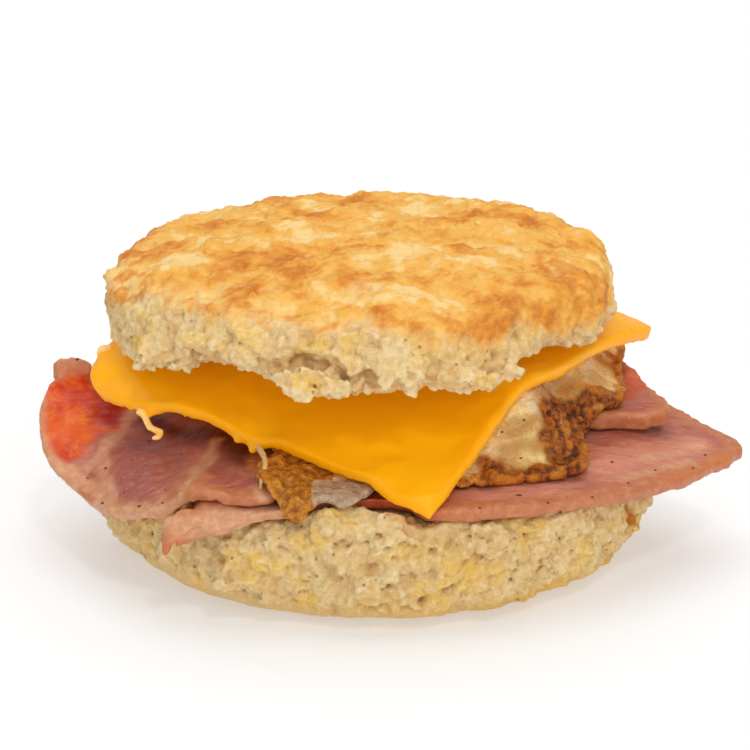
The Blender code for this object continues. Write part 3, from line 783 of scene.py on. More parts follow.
# %% Top biscuit: finish
def top_material():
    material, tree, surface, place = new_material(
        "top_biscuit_crust", Specular_IOR_Level=0.12, Subsurface_Weight=0.1, Subsurface_Scale=0.0008
    )
    surface.inputs["Subsurface Radius"].default_value = (1.0, 0.6, 0.3)
    inputs = {name: noted(tree, name.lower()) for name in ("Hollow_shade", "Proud_highlight", "Butter")}
    crumb = placed(tree, CRUMB, Place=place, Warmth=0.15, **inputs)
    crust = noted(tree, "crust")
    golden = tint(tree, patches(tree, place, 5, 0.34, 0.66), rgb(0.91, 0.51, 0.12), rgb(0.89, 0.44, 0.065))
    golden = tint(tree, part_of(tree, noted(tree, "pale"), 0.85), golden, rgb(0.96, 0.70, 0.31))
    golden = tint(tree, part_of(tree, noted(tree, "toast"), 0.85), golden, rgb(0.80, 0.31, 0.04))
    freckled = sums(tree, "MULTIPLY", noted(tree, "toast"), patches(tree, place, 1.8, 0.42, 0.66))
    golden = tint(tree, part_of(tree, freckled, 0.3), golden, rgb(0.70, 0.22, 0.03))
    golden = tint(tree, part_of(tree, noted(tree, "dark"), 0.8), golden, rgb(0.58, 0.17, 0.02))
    golden = tint(tree, window(tree, fleck(tree, place, 1.1, 5, 0.7), 0.48, 0.7, 0.0, 0.26), golden, rgb(0.96, 0.66, 0.25))
    # Painted shade: the crust is darker in its hollows and dimples.
    golden = tint(tree, part_of(tree, noted(tree, "hollow_shade"), 0.45), golden, rgb(0.60, 0.27, 0.06))
    color = tint(tree, crust, crumb["Color"], golden)
    # Painted shadow in the seams.
    color = tint(tree, part_of(tree, noted(tree, "seam"), 0.8), color, rgb(0.44, 0.23, 0.08))
    wire(tree, color, surface.inputs["Base Color"])
    wire(tree, window(tree, crust, 0, 1, 0.85, 0.55), surface.inputs["Roughness"])
    skin_grain = sums(tree, "ADD", part_of(tree, fleck(tree, place, 1.0, 4, 0.6), 0.6), part_of(tree, fleck(tree, place, 2.6, 2), 0.4))
    height = shader(tree, "Mix", {0: crust, 2: crumb["Height"], 3: skin_grain}, data_type="FLOAT").outputs[0]
    bumped(tree, surface, height, 0.8, 0.95)
    return material


dressed(top, "biscuit_top", top_material())
print("top biscuit is dressed")

# %% [markdown]
# ## Slices and their rims
#
# Ham, egg and cheese are slices, and much of their look depends on how far a point is from the rim: ham has
# a band of fat there, egg is crisp there, and cheese shows its cut. The rim of each plain solid is where two
# of its faces meet sharply, so those edges, gathered in a search tree, give the distance.

# %% Distance to a slice's rim
def rim_distance(points, node, sharp=0.9):
    """How far each point is from the sharp rim edges of a solid, in mm."""
    joined = bmesh.new()
    joined.from_mesh(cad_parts[node].data)
    bmesh.ops.remove_doubles(joined, verts=joined.verts, dist=1e-7)
    rims = [e for e in joined.edges if len(e.link_faces) == 2 and e.calc_face_angle() > sharp]
    spots = [e.verts[0].co.lerp(e.verts[1].co, t / 4) / MM for e in rims for t in range(4)]
    joined.free()
    tree = kdtree.KDTree(len(spots))
    for i, spot in enumerate(spots):
        tree.insert(spot, i)
    tree.balance()
    return np.array([tree.find(p)[2] for p in points.tolist()])


print("rims can be found")

# %% [markdown]
# ## Ham
#
# Ham is muscle with fine fibres, veins of fat between the muscles, and a band of pale fat along the rim. It
# is moist, so it shines softly. The left slice curls up at its end into a cup; the orange-red of light coming
# through it is painted into its colour, which is painted light, and its deepest red is painted shade. Where
# the cheese and the egg hang close over the slices, the meat is painted dark, which is painted shade, and a
# lighter band on the lower slice is partly painted sheen. All three slices share one material. Where each
# vein runs is noted on the mesh, and the fibres are noise that is stretched along the slice.

# %% Ham: finish
def ham_material():
    material, tree, surface, place = new_material(
        "ham_meat", Specular_IOR_Level=0.16, Subsurface_Weight=0.1, Subsurface_Scale=0.0012, Coat_Roughness=0.18
    )
    surface.inputs["Subsurface Radius"].default_value = (1.0, 0.35, 0.2)
    along = shader(
        tree, "Mapping", {"Vector": place, "Rotation": (0.0, 0.0, 0.3), "Scale": (4.5, 1.0, 1.3)}, vector_type="TEXTURE"
    ).outputs["Vector"]
    fibres = fleck(tree, along, 0.5, 4, 0.6)
    strands = fleck(tree, along, 1.5, 3, 0.6)
    broad = patches(tree, place, 8, 0.38, 0.64)
    fine = patches(tree, place, 1.6, 0.4, 0.68)
    meat = tint(tree, broad, rgb(0.39, 0.10, 0.062), rgb(0.52, 0.165, 0.105))
    # Paler meat where noted, partly its own colour and partly painted sheen and highlight.
    meat = tint(tree, part_of(tree, noted(tree, "light"), 0.8), meat, rgb(0.72, 0.29, 0.19))
    meat = tint(tree, part_of(tree, noted(tree, "mauve"), 0.85), meat, rgb(0.38, 0.105, 0.085))
    meat = tint(tree, window(tree, strands, 0.48, 0.72, 0.0, 0.3), meat, rgb(0.66, 0.28, 0.19))
    meat = tint(tree, window(tree, fibres, 0.5, 0.72, 0.0, 0.5), meat, rgb(0.70, 0.33, 0.23))
    meat = tint(tree, window(tree, fibres, 0.48, 0.28, 0.0, 0.5), meat, rgb(0.29, 0.065, 0.045))
    # Painted shade: the meat is darkened where the cheese and the egg hang close over it.
    meat = tint(tree, part_of(tree, noted(tree, "dark"), 0.95), meat, rgb(0.12, 0.022, 0.01))
    fat = tint(tree, fine, rgb(0.64, 0.31, 0.16), rgb(0.74, 0.42, 0.24))
    rim = tint(tree, fine, rgb(0.52, 0.175, 0.07), rgb(0.62, 0.25, 0.105))
    color = tint(tree, part_of(tree, noted(tree, "rim"), 0.9), meat, rim)
    color = tint(tree, part_of(tree, noted(tree, "fat"), 0.85), color, fat)
    color = tint(tree, part_of(tree, noted(tree, "orange"), 0.8), color, rgb(0.60, 0.17, 0.05))
    # Painted light: the orange-red stands in for light coming through thin meat, and the deep note adds painted shade
    # in its darkest red. On the lower slice the same colours paint a shaded end.
    glow = tint(tree, patches(tree, place, 7.0, 0.38, 0.66), rgb(0.58, 0.034, 0.002), rgb(0.72, 0.10, 0.003))
    glow = tint(tree, part_of(tree, patches(tree, place, 2.4, 0.48, 0.68), 0.5), glow, rgb(0.84, 0.22, 0.015))
    glow = tint(tree, noted(tree, "deep"), glow, rgb(0.42, 0.014, 0.004))
    color = tint(tree, noted(tree, "glow"), color, glow)
    color = tint(tree, part_of(tree, patches(tree, place, 0.9, 0.66, 0.74), 0.5), color, rgb(0.24, 0.06, 0.03))
    wire(tree, color, surface.inputs["Base Color"])
    wire(tree, window(tree, fibres, 0.3, 0.7, 0.3, 0.5), surface.inputs["Roughness"])
    wet = sums(tree, "MULTIPLY", window(tree, noted(tree, "dark"), 0.0, 0.6, 0.3, 0.0), window(tree, fleck(tree, place, 3, 3), 0.4, 0.6, 0.3, 1.0))
    wire(tree, wet, surface.inputs["Coat Weight"])
    height = sums(tree, "ADD", part_of(tree, fibres, 0.5), part_of(tree, strands, 0.5))
    bumped(tree, surface, height, 0.3, 0.85)
    return material


HAM = ham_material()
print("material:", HAM.name)

# %% Ham: shape shared by the slices
HAM_SQUARE = 0.55


def ham_slice(node, name, seed, rim_width, extra=(), pulled=()):
    """A slice with soft swells and its fatty rim noted. Each (line, push) pair in pulled draws its rim along."""
    piece = fine_copy(node, name, HAM_SQUARE, 3, extra)
    points = places(piece)
    look = seen_on(piece)
    moves = [np.array(push) * lines_seen(points, look, [line], 4.5, 0.9)[:, None] for line, push in pulled]
    points += sum(moves, np.zeros(3))
    put(piece, points)
    stretched = points @ np.array([[0.955, 0.296, 0], [-0.296, 0.955, 0], [0, 0, 1]]).T * np.array([0.25, 1, 0.6])
    height = 0.4 * rolling(points, 9, 3, seed) + 0.16 * rolling(stretched, 1.6, 2, seed)
    grow(piece, node, np.maximum(height, -0.5))
    points = places(piece)
    away = rim_distance(points, node) + 1.2 * rolling(points, 6, 3, seed)
    note(piece, "rim", 1 - step(away, 0.45 * rim_width, rim_width))
    for empty in ("fat", "mauve", "orange", "glow", "deep", "light", "dark"):
        note(piece, empty, np.zeros(len(points)))
    return piece, points, seen_on(piece)


TIP_LUMPS = [(168, 549, 1.2, 1.8), (171, 541, 1.7, 1.8), (179, 538, 2.0, 1.8), (177, 530, 2.2, 1.7), (175, 523, 2.2, 1.6), (187, 516, 2.4, 1.5)]
TIP = [(at_depth(across, down, -50.3), (wide, 1.1, tall)) for across, down, wide, tall in TIP_LUMPS]
SHORTER = [([(186, 556), (198, 548)], (-0.8, 0.8, 2.0)), ([(205, 545), (225, 537), (250, 528), (282, 521)], (0, 1.0, 1.0)), ([(320, 518), (370, 517), (405, 517)], (0, 2.4, 1.2))]
lower_ham, points, look = ham_slice("ham_slice_lower", "lower_ham", 100.0, 4.6, TIP, SHORTER)
ragged = points + 1.1 * drift(points, 3.5, 5.0)
VEINS = [[(620, 480), (690, 462)], [(640, 458), (700, 446)], [(186, 534), (225, 520), (285, 510)], [(200, 512), (270, 505)]]
STRIP = [[(172, 530), (200, 528), (225, 520), (285, 512)]]
fat = np.maximum(0.8 * lines_seen(ragged, look, VEINS, 2.0, 0.8), lines_seen(ragged, look, STRIP, 3.6, 0.5))
note(lower_ham, "fat", fat)
note(lower_ham, "orange", 0.7 * lines_seen(ragged, look, [[(168, 552), (172, 542)], [(670, 478), (725, 462)]], 4.0, 0.9))
# Painted sheen, with paler meat: a lighter band on the top of the slice.
note(lower_ham, "light", lines_seen(ragged, look, [[(600, 470), (640, 455), (690, 445)], [(480, 495), (560, 486)]], 8.0, 0.9))
# Painted shade: the end lying in shadow under the egg is painted dark red, and so is the band under the egg's tongue.
painted_shade_end = lines_seen(ragged, look, [[(372, 505), (420, 512)]], 5.0, 0.7)
note(lower_ham, "dark", 0.8 * lines_seen(ragged, look, [[(300, 512), (365, 508), (425, 512)]], 4.5, 0.9))
note(lower_ham, "glow", 0.5 * painted_shade_end)
note(lower_ham, "deep", painted_shade_end)
dressed(lower_ham, "ham_slice_lower", HAM)

right_ham, points, look = ham_slice("ham_slice_right", "right_ham", 120.0, 3.0)
ragged = points + 1.0 * drift(points, 3.0, 25.0)
wet_top = lines_seen(ragged, look, [[(628, 352), (634, 370), (640, 385)]], 3.4, 0.8)
note(right_ham, "orange", wet_top)
note(right_ham, "glow", 0.45 * wet_top)
dressed(right_ham, "ham_slice_right", HAM)
print("lower ham:", len(lower_ham.data.polygons), "squares, right ham:", len(right_ham.data.polygons))

# %% [markdown]
# The left slice needs the most care, because its inside is turned to the viewer. Two oval muscles with a
# seam of fat between them, a peach rim, and the cup at its end, with a small flap standing up over it.

# %% Left ham slice
FLAP = [((-63.2, 8.2, 33.0), (2.1, 1.1, 3.0)), ((-61.2, 8.3, 33.4), (2.6, 1.1, 2.9)), ((-59.2, 8.0, 33.2), (2.6, 1.1, 2.9))]
LOWERED = [([(165, 512), (205, 505), (240, 500), (262, 496)], (0, -0.3, -1.0)), ([(262, 496), (264, 488)], (1.8, 0.4, 0))]
left_ham, points, look = ham_slice("ham_slice_left", "left_ham", 140.0, 4.2, FLAP, LOWERED)
ragged = points + 1.1 * drift(points, 3.5, 15.0)
soft = points + 1.5 * drift(points, 6.0, 9.0)
SEAM_OF_FAT = [
    [(134, 412), (122, 430), (104, 450), (88, 468)], [(216, 440), (198, 470), (182, 492), (165, 510)],
    [(104, 455), (104, 475), (112, 498)], [(70, 470), (90, 485), (112, 502)], [(112, 508), (150, 512), (180, 506)],
]
PEACH_RIM = [[(95, 505), (130, 514), (160, 514), (200, 503), (262, 496)], [(44, 400), (46, 430), (54, 462), (74, 484)]]
CUP = [[(58, 395), (57, 425), (72, 446)], [(80, 388), (80, 432)], [(104, 392), (104, 424)]]
fat = np.maximum(0.9 * lines_seen(ragged, look, SEAM_OF_FAT, 2.6, 0.75), lines_seen(ragged, look, PEACH_RIM, 2.6, 0.7))
fat = np.maximum(fat, 0.7 * lines_seen(soft, look, [[(60, 364), (88, 366)]], 4.0, 0.9))
cup = lines_seen(soft, look, CUP, 5.4, 0.55)
note(left_ham, "fat", fat)
# Painted light: the cup's orange-red of light coming through the thin meat, with painted shade in its deepest part.
note(left_ham, "glow", cup * step(points[:, 0], -67.4, -64.6))
note(left_ham, "deep", lines_seen(soft, look, [[(109, 396), (112, 420)]], 4.6, 0.8))
note(left_ham, "mauve", lines_seen(soft, look, [[(142, 446), (140, 488)], [(228, 460), (220, 488), (246, 490)]], 6.5, 0.35))
# Painted shade: the meat under the cheese's edge is darkened.
note(left_ham, "dark", lines_seen(soft, look, [[(150, 420), (205, 434), (235, 446), (256, 464)]], 6.0, 0.95))
note(left_ham, "orange", 0.35 * lines_seen(soft, look, [[(60, 364), (88, 366)], [(48, 378), (42, 400)]], 4.0, 0.9))
# Paler salmon on the flap and the left rim, partly its own colour and partly a painted highlight.
note(left_ham, "light", lines_seen(soft, look, [[(60, 364), (88, 366)], [(44, 385), (43, 430)]], 4.0, 0.9))
dressed(left_ham, "ham_slice_left", HAM)
print("left ham:", len(left_ham.data.polygons), "squares")

# %% [markdown]
# ## The fried egg
#
# Under the cheese the white of the egg is soft and cream-coloured, with tan marks from the pan; a lump of
# it in the cheese's shadow is painted greyish tan, which is painted shade. Towards its rim it was fried in
# hot fat: it blistered, went crisp and turned from gold to dark glossy brown. The lace is made of bubbles,
# which are cell noise, and of strings between them, which are the sharp ridges of soft noise. Its hollows
# are painted darker, which is painted shade, and its ridges and some small gold spots are painted amber,
# which is painted glints.

# %% Egg: shape
on_solid = seen_on(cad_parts["fried_egg"])
DRIPPING = [(272, 478, 1.5, 2.0), (278, 488, 1.8, 2.0), (288, 498, 2.2, 1.8), (302, 503, 2.2, 1.6)]
drips = [(on_solid(across, down) + Vector((0, 0.3, -0.8)), (wide, 0.9, tall)) for across, down, wide, tall in DRIPPING]
egg = fine_copy("fried_egg", "fried_egg_white", 0.5, 3, drips)
points = places(egg)
look = seen_on(egg)
ragged = points + 1.5 * drift(points, 3.5, 3.0)
BROWN_LACE = [
    [(570, 408), (588, 418)],
    [(470, 488), (497, 480), (525, 479), (555, 473), (584, 470)], [(553, 412), (556, 440), (562, 465)],
    [(572, 408), (577, 440), (583, 466)], [(553, 408), (575, 398), (600, 396), (617, 402)],
]
GOLD_LACE = [
    [(563, 415), (566, 445)], [(580, 436), (583, 468)], [(598, 394), (614, 396)], [(500, 482), (508, 481)],
    [(558, 476), (570, 478)], [(528, 478), (534, 480)], [(604, 350), (616, 362), (621, 378)],
]
TAN_MARKS = [
    [(505, 452), (540, 444)], [(480, 472), (502, 466), (522, 468)], [(512, 432), (540, 418)], [(594, 352), (618, 372)], [(540, 395), (560, 385), (600, 380)],
]
brown = lines_seen(ragged, look, BROWN_LACE, 3.6, 0.6)
gold = lines_seen(ragged, look, GOLD_LACE, 1.7, 0.7)
tongue = lines_seen(ragged, look, [[(285, 460), (292, 475), (298, 492)]], 10.0, 0.2) * (points[:, 0] < -8)
# Painted shade: a lump of egg white lying in the cheese's shadow is painted greyish tan.
painted_shade_grey = lines_seen(points, look, [[(334, 492), (362, 490), (368, 488)]], 6.5, 0.4) * (points[:, 0] > -12)
away = rim_distance(points, "fried_egg") + 1.0 * rolling(points, 5, 3, 8.0)
rim = 1 - step(away, 0.8, 3.2)
crisp = np.maximum.reduce([brown, gold, tongue, 0.85 * rim]) * (1 - painted_shade_grey)
bubbles = curds(points + 0.9 * drift(points, 2.5, 1.0), 2.6, 6.0) + 0.7 * curds(points, 1.4, 9.0)
strings = 0.22 - np.abs(swell(points + 0.8 * drift(points, 2.0, 4.0), 2.0, 31.0))
thick = 0.7 * np.maximum(brown, gold)
height = 0.3 * rolling(points, 7, 3, 2.0) + 0.2 * curds(ragged, 1.9, 12.0) * (1 - crisp) + crisp * (1.5 * bubbles + 1.4 * strings) + thick
grow(egg, "fried_egg", np.maximum(height, -0.7))
without_crumbs(remeshed(egg, 0.49, 0))

# %% Egg: notes for the finish
points = places(egg)
look = seen_on(egg)
ragged = points + 1.5 * drift(points, 3.5, 3.0)
brown = lines_seen(ragged, look, BROWN_LACE, 5.0, 0.75)
gold = lines_seen(ragged, look, GOLD_LACE, 1.7, 0.7)
tongue = lines_seen(ragged, look, [[(285, 460), (292, 475), (298, 492)]], 10.5, 0.15) * (points[:, 0] < -8)
painted_shade_grey = lines_seen(points, look, [[(334, 492), (362, 490), (368, 488)]], 6.5, 0.4) * (points[:, 0] > -12)
away = rim_distance(points, "fried_egg") + 1.0 * rolling(points, 5, 3, 8.0)
note(egg, "crisp", np.maximum.reduce([brown, gold, tongue, 0.85 * (1 - step(away, 0.8, 3.2))]) * (1 - painted_shade_grey))
note(egg, "tongue", tongue)
note(egg, "gold", gold)
note(egg, "painted_shade_grey", painted_shade_grey)
note(egg, "dark", step(brown + 0.5 * rolling(points, 4, 3, 50.0), 0.35, 1.0) * (1 - tongue))
note(egg, "tan", lines_seen(ragged, look, TAN_MARKS, 3.6, 0.9))
note(egg, "yellow", 0.7 * lines_seen(ragged, look, [[(598, 380), (617, 387)], [(556, 396), (575, 388), (592, 382)]], 2.4, 0.9))
note(egg, "white", lines_seen(ragged, look, [[(580, 352), (590, 366)], [(530, 400), (552, 388)], [(474, 465), (494, 456)]], 4.2, 0.7))
# Painted shade in the hollows of the lace and painted glints on its ridges, read by the finish.
deep = hollows(egg, 14, 0.45)
note(egg, "hollow_shade", step(deep, -0.1, 0.7))
note(egg, "ridge_glint", step(-deep, 0.4, 1.0))
print("egg:", len(egg.data.polygons), "squares")

# %% Egg: finish
def egg_material():
    material, tree, surface, place = new_material(
        "fried_egg_finish", Specular_IOR_Level=0.12, Subsurface_Weight=0.1, Subsurface_Scale=0.001, Coat_Roughness=0.1
    )
    surface.inputs["Subsurface Radius"].default_value = (1.0, 0.6, 0.35)
    crisp, dark, hollow_shade = noted(tree, "crisp"), noted(tree, "dark"), noted(tree, "hollow_shade")
    white = tint(tree, patches(tree, place, 4, 0.4, 0.64), rgb(0.98, 0.78, 0.34), rgb(0.93, 0.62, 0.17))
    white = tint(tree, part_of(tree, patches(tree, place, 1.2, 0.5, 0.64), 0.5), white, rgb(0.72, 0.43, 0.15))
    white = tint(tree, part_of(tree, noted(tree, "white"), 0.6), white, rgb(0.90, 0.78, 0.56))
    white = tint(tree, part_of(tree, patches(tree, place, 1.8, 0.52, 0.68), 0.5), white, rgb(0.60, 0.32, 0.09))
    white = tint(tree, window(tree, cells(tree, place, 1.3), 0.5, 0.2, 0.0, 0.3), white, rgb(0.97, 0.84, 0.58))
    white = tint(tree, part_of(tree, noted(tree, "tan"), 0.8), white, rgb(0.50, 0.24, 0.065))
    # Painted shade: the greyish tan of the egg white in the cheese's shadow.
    painted_shade_grey = tint(tree, patches(tree, place, 1.6, 0.4, 0.66), rgb(0.54, 0.385, 0.25), rgb(0.34, 0.21, 0.13))
    white = tint(tree, noted(tree, "painted_shade_grey"), white, painted_shade_grey)
    golden = tint(tree, patches(tree, place, 1.2, 0.35, 0.65), rgb(0.38, 0.115, 0.012), rgb(0.66, 0.27, 0.03))
    # Painted shade: gold and brown lace are darker in their hollows.
    golden = tint(tree, part_of(tree, hollow_shade, 0.9), golden, rgb(0.20, 0.055, 0.01))
    brown = tint(tree, patches(tree, place, 1.3, 0.36, 0.64), rgb(0.075, 0.014, 0.003), rgb(0.50, 0.125, 0.012))
    brown = tint(tree, hollow_shade, brown, rgb(0.022, 0.005, 0.002))
    color = tint(tree, window(tree, crisp, 0.15, 0.8), white, golden)
    color = tint(tree, part_of(tree, dark, 0.98), color, brown)
    # Painted glints: the ridges of the crisp lace are painted amber.
    ridge_glint = sums(tree, "MULTIPLY", noted(tree, "ridge_glint"), part_of(tree, crisp, 0.75))
    color = tint(tree, ridge_glint, color, rgb(0.72, 0.29, 0.035))
    # The gold note holds real gold lace and small spots that are painted glints, with painted shade in their hollows.
    amber = tint(tree, hollow_shade, rgb(0.62, 0.20, 0.015), rgb(0.20, 0.04, 0.008))
    color = tint(tree, part_of(tree, noted(tree, "gold"), 0.85), color, amber)
    color = tint(tree, part_of(tree, noted(tree, "yellow"), 0.7), color, rgb(0.86, 0.50, 0.13))
    wire(tree, color, surface.inputs["Base Color"])
    wire(tree, window(tree, crisp, 0, 1, 0.5, 0.3), surface.inputs["Roughness"])
    wire(tree, window(tree, crisp, 0, 1, 0.05, 0.16), surface.inputs["Coat Weight"])
    height = sums(tree, "ADD", part_of(tree, fleck(tree, place, 0.8, 4, 0.6), 0.6), part_of(tree, cells(tree, place, 0.9), 0.4))
    bumped(tree, surface, height, 0.7, 1.0)
    return material


EGG = egg_material()
dressed(egg, "fried_egg", EGG)
print("egg is dressed")

# %% [markdown]
# ## Cheese
#
# A processed slice is smooth and waxy, one even orange, with a soft shine. Light goes a little way into it,
# which makes thin places brighter, and a faint orange glow of its own is painted light that lifts its
# shaded parts. There is nearly nothing to add: slight dents where the biscuit presses, and a line along the
# cut that is painted darker on the slice, as painted shade against the light its edge catches, and paler
# on the melted bits. Its white sheen must stay weak, or the orange turns to tan.

# %% Cheese
def cheese_material(name, paler):
    # The orange emission is painted light: a glow that stands in for light passing through the cheese and lifts its
    # shaded parts.
    material, tree, surface, place = new_material(
        name, Roughness=0.3, Specular_IOR_Level=0.2, Subsurface_Weight=0.3, Subsurface_Scale=0.003, Emission_Strength=0.14
    )
    surface.inputs["Subsurface Radius"].default_value = (1.0, 0.45, 0.08)
    surface.inputs["Emission Color"].default_value = rgb(1.0, 0.42, 0.0)
    color = tint(tree, patches(tree, place, 22, 0.35, 0.65), rgb(0.94, 0.41, 0.001), rgb(0.97, 0.45, 0.003))
    # On the slice the cut is painted darker, which is painted shade against the light its edge catches; on the melted
    # bits it is paler.
    rim = rgb(0.93, 0.66, 0.30) if paler else rgb(0.87, 0.345, 0.001)
    color = tint(tree, part_of(tree, noted(tree, "cut"), 0.6), color, rim)
    if paler:
        color = tint(tree, patches(tree, place, 1.6, 0.4, 0.6), color, rgb(0.93, 0.66, 0.30))
    wire(tree, color, surface.inputs["Base Color"])
    bumped(tree, surface, fleck(tree, place, 3.5, 3, 0.5), 0.14, 0.4)
    return material


on_solid = seen_on(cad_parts["cheese_slice"])
DROPLETS = [(143, 404, 1.2), (148, 406, 1.0), (236, 434, 0.9), (252, 440, 1.1)]
SAGGING = [[(98, 380), (108, 393), (130, 399), (152, 407)], [(200, 423), (250, 438)]]
droplets = [(on_solid(across, down) - Vector((0, 0, 0.6)), (r, r, r)) for across, down, r in DROPLETS]
cheese = fine_copy("cheese_slice", "cheese", 0.6, 6, droplets)
points = places(cheese)
points[:, 2] -= 1.4 * lines_seen(points, on_solid, SAGGING, 6.0, 0.95) * (1 + 0.6 * swell(points, 4.0, 12.0))
put(cheese, points)
grow(cheese, "cheese_slice", 0.25 * rolling(points, 14, 3, 77.0))
note(cheese, "cut", 1 - step(rim_distance(places(cheese), "cheese_slice"), 0.6, 2.4))
dressed(cheese, "cheese_slice", cheese_material("cheese_wax", False))
print("cheese:", len(cheese.data.polygons), "squares")

# %% [markdown]
# ## Strings and drips
#
# Warm cheese pulls out into a string that curls as it cools, and thin threads of egg white hang beside the
# tongue. Each is a tube along a smooth path, thicker where it leaves the slice. Drawing the path through the
# camera puts it where it is seen, and its depth is taken from the slice behind it.

# %% Strings
def through(path, count=8):
    """A smooth path through points."""
    path = np.array([tuple(p) for p in path])
    path = np.vstack([2 * path[0] - path[1], path, 2 * path[-1] - path[-2]])
    smooth = []
    for before, start, end, after in zip(path, path[1:], path[2:], path[3:]):
        for t in np.arange(count) / count:
            smooth.append(
                0.5 * (2 * start + (end - before) * t + (2 * before - 5 * start + 4 * end - after) * t**2
                       + (3 * start - before - 3 * end + after) * t**3)
            )
    return smooth + [path[-2]]


def towards_eye(spot, distance):
    """Moves a spot that is given in mm that far towards the camera."""
    return Vector(spot) + (eye - Vector(spot)).normalized() * distance


def string(body, path, thick, thin):
    """Beads along a smooth path, which the remesh melts into one string."""
    beads = through(path)
    for i, bead in enumerate(beads):
        radius = thick + (thin - thick) * i / len(beads)
        lump(body, bead, (radius, radius, radius), 0.25)


def melted(name, paths, square):
    body = bmesh.new()
    for path, thick, thin in paths:
        string(body, path, thick, thin)
    mesh = bpy.data.meshes.new(name)
    body.to_mesh(mesh)
    body.free()
    return remeshed(linked(name, mesh), square, 2)


on_cheese = seen_on(cheese)
CURL = [(147, 421), (150, 427), (156, 430), (161, 432), (159, 437), (154, 438)]
hanging = on_cheese(144, 414).y
curl = [on_cheese(140, 412), on_cheese(144, 414)] + [at_depth(across, down, hanging) for across, down in CURL]
melt = [towards_eye(on_cheese(*spot), 0.2) for spot in ((97, 352), (103, 350), (110, 349))]
cheese_string = melted("cheese_string", [(curl, 0.8, 0.5), (melt, 1.2, 0.8)], 0.3)
note(cheese_string, "cut", np.full(len(cheese_string.data.vertices), 0.6))
dressed(cheese_string, None, cheese_material("melted_cheese", True))

on_egg = seen_on(egg)
start, end = on_cheese(258, 447), on_egg(268, 470)
DROP = [(262, 453, 0.3), (265, 460, 0.6), (265, 466, 0.85), (263, 473, 1.0), (261, 481, 1.0), (261, 488, 1.0), (260, 494, 1.0)]
drop = [start] + [at_depth(across, down, start.y + (end.y - 0.6 - start.y) * share) for across, down, share in DROP]
threads = [(drop, 0.7, 0.34)]
egg_threads = melted("egg_threads", threads, 0.3)
count = len(egg_threads.data.vertices)
for name in ("crisp", "tongue", "gold", "painted_shade_grey", "dark", "hollow_shade", "ridge_glint", "tan"):
    note(egg_threads, name, np.zeros(count))
note(egg_threads, "white", np.ones(count))
note(egg_threads, "yellow", np.full(count, 0.85))
dressed(egg_threads, None, EGG)
print("strings:", len(cheese_string.data.polygons) + len(egg_threads.data.polygons), "squares")

# %% [markdown]
# ## Pepper
#
# Flecks of ground pepper lie on the ham and the egg. Each is a tiny rough lump, half sunk in what it lies
# on. Those that the photo shows are placed through the camera, and chance, with a fixed seed, spreads the
# others over the sides that face away.

# %% Pepper
PEPPER_ON_LEFT = [
    (132, 460), (106, 468), (181, 454), (166, 490), (163, 503), (216, 500), (235, 516), (103, 503), (124, 492),
    (88, 478), (150, 441), (195, 508), (140, 506),
]
PEPPER_ON_LOWER = [
    (628, 483), (693, 468), (519, 495), (548, 503), (592, 497), (655, 470), (612, 462), (560, 512), (480, 508), (705, 455),
]
PEPPER_ON_EGG = [(577, 354), (601, 356), (556, 423), (524, 420), (502, 432), (521, 458), (514, 402), (540, 372)]


def scattered(body, piece, spots, size, rough, flat=0.5):
    """Small lumps half sunk in a piece."""
    luck = random.Random(len(spots))
    for spot in spots:
        radius = luck.uniform(0.6, 1.0) * size
        half_sizes = (radius * luck.uniform(0.7, 1.4), radius, radius * flat)
        lump(body, spot, half_sizes, rough)


def hidden_spots(piece, node, count, seed):
    """Spots that chance picks on the free upper side of a piece, away from the camera."""
    points, facing = places(piece), facings(piece)
    good = np.flatnonzero((facing[:, 2] > 0.4) & (points[:, 1] > 0) & (room(points, node) > 2.5))
    luck = random.Random(seed)
    return [points[i] for i in luck.sample(good.tolist(), min(count, len(good)))]


def bits(name, sets, material, square=None):
    body = bmesh.new()
    for piece, spots, size, rough in sets:
        scattered(body, piece, spots, size, rough)
    mesh = bpy.data.meshes.new(name)
    body.to_mesh(mesh)
    body.free()
    made = linked(name, mesh)
    dressed(made, None, material)
    return made


def pepper_material():
    material, tree, surface, place = new_material("ground_pepper", Roughness=0.6, Specular_IOR_Level=0.3)
    color = tint(tree, fleck(tree, place, 0.8, 1), rgb(0.07, 0.025, 0.014), rgb(0.24, 0.085, 0.035))
    wire(tree, color, surface.inputs["Base Color"])
    return material


on_ham, on_lower = seen_on(left_ham), seen_on(lower_ham)
pepper = bits(
    "pepper",
    [
        (left_ham, [on_ham(*s) for s in PEPPER_ON_LEFT], 0.36, 0.8),
        (lower_ham, [on_lower(*s) for s in PEPPER_ON_LOWER], 0.38, 0.8),
        (egg, [on_egg(*s) for s in PEPPER_ON_EGG], 0.34, 0.8),
        (left_ham, hidden_spots(left_ham, "ham_slice_left", 10, 1), 0.4, 0.8),
        (lower_ham, hidden_spots(lower_ham, "ham_slice_lower", 10, 2), 0.4, 0.8),
    ],
    pepper_material(),
)
print("pepper:", len(pepper.data.polygons), "faces")

# %% [markdown]
# ## Table and light
#
# The photo has a white table and one large soft light from above, with light coming back from all around.
# A sun lamp with a wide angle is such a light, and it lights the whole table evenly, so that the table meets
# the white background without a line. What the camera sees of the world is pure white, while the light the
# world gives is weaker, because full white from all sides would wash every shadow out. A faint glow of the
# table itself keeps the shadows on it as light as a studio's reflectors do. A third, small sun adds the
# glints on what is wet.

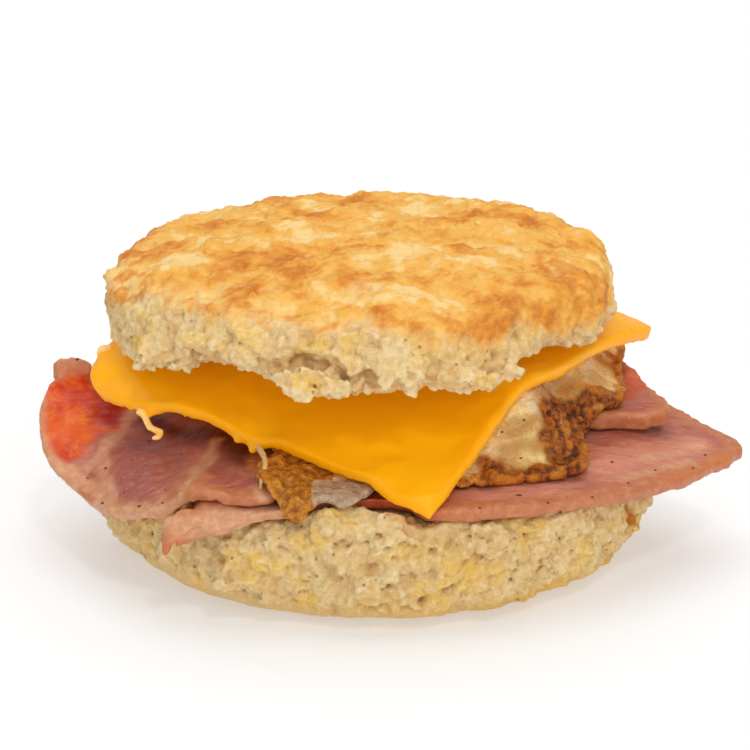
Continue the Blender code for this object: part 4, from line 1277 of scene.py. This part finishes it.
# %% Table
def table():
    joined = bmesh.new()
    bmesh.ops.create_grid(joined, x_segments=1, y_segments=1, size=6.0)
    mesh = bpy.data.meshes.new("table")
    joined.to_mesh(mesh)
    joined.free()
    piece = linked("table", mesh)
    material, tree, surface, place = new_material(
        "white_table", Roughness=0.9, Specular_IOR_Level=0.1, Emission_Strength=0.38
    )
    surface.inputs["Emission Color"].default_value = rgb(1.0, 1.0, 1.0)
    wire(tree, tint(tree, fleck(tree, place, 40, 2), rgb(0.60, 0.61, 0.62), rgb(0.61, 0.62, 0.63)), surface.inputs["Base Color"])
    mesh.materials.append(material)


table()
print("table is in place")

# %% Light
def lamp(name, turn, lift, strength, wide, color):
    """A soft sun: turn and lift say where it stands, in degrees, with turn 0 in front and 90 at the right."""
    light = bpy.data.lights.new(name, "SUN")
    light.energy, light.angle, light.color = strength, math.radians(wide), color
    piece = bpy.data.objects.new(name, light)
    turned, lifted = math.radians(turn), math.radians(lift)
    towards = Vector(
        (math.sin(turned) * math.cos(lifted), -math.cos(turned) * math.cos(lifted), math.sin(lifted))
    )
    piece.rotation_mode = "QUATERNION"
    piece.rotation_quaternion = towards.to_track_quat("Z", "Y")
    bpy.context.scene.collection.objects.link(piece)


def background(around, seen):
    """White to the camera, weaker as a light."""
    world = bpy.data.worlds.new("studio")
    world.use_nodes = True
    tree = world.node_tree
    shown, given = (shader(tree, "Background", {"Color": rgb(1, 1, 1), "Strength": s}) for s in (seen, around))
    path = shader(tree, "LightPath").outputs["Is Camera Ray"]
    mixed = shader(tree, "MixShader", {0: path, 1: given.outputs[0], 2: shown.outputs[0]})
    tree.links.new(mixed.outputs[0], tree.nodes["World Output"].inputs["Surface"])
    bpy.context.scene.world = world


lamp("overhead", -172, 77, 1.53, 66, (1.0, 0.985, 0.96))
lamp("front_fill", 12, 27, 1.03, 60, (1.0, 0.985, 0.96))
lamp("glint", 14, 50, 0.35, 5, (1.0, 1.0, 1.0))
background(0.36, 1.0)
bpy.context.scene.view_settings.view_transform = "Standard"
print("three suns and a white studio")
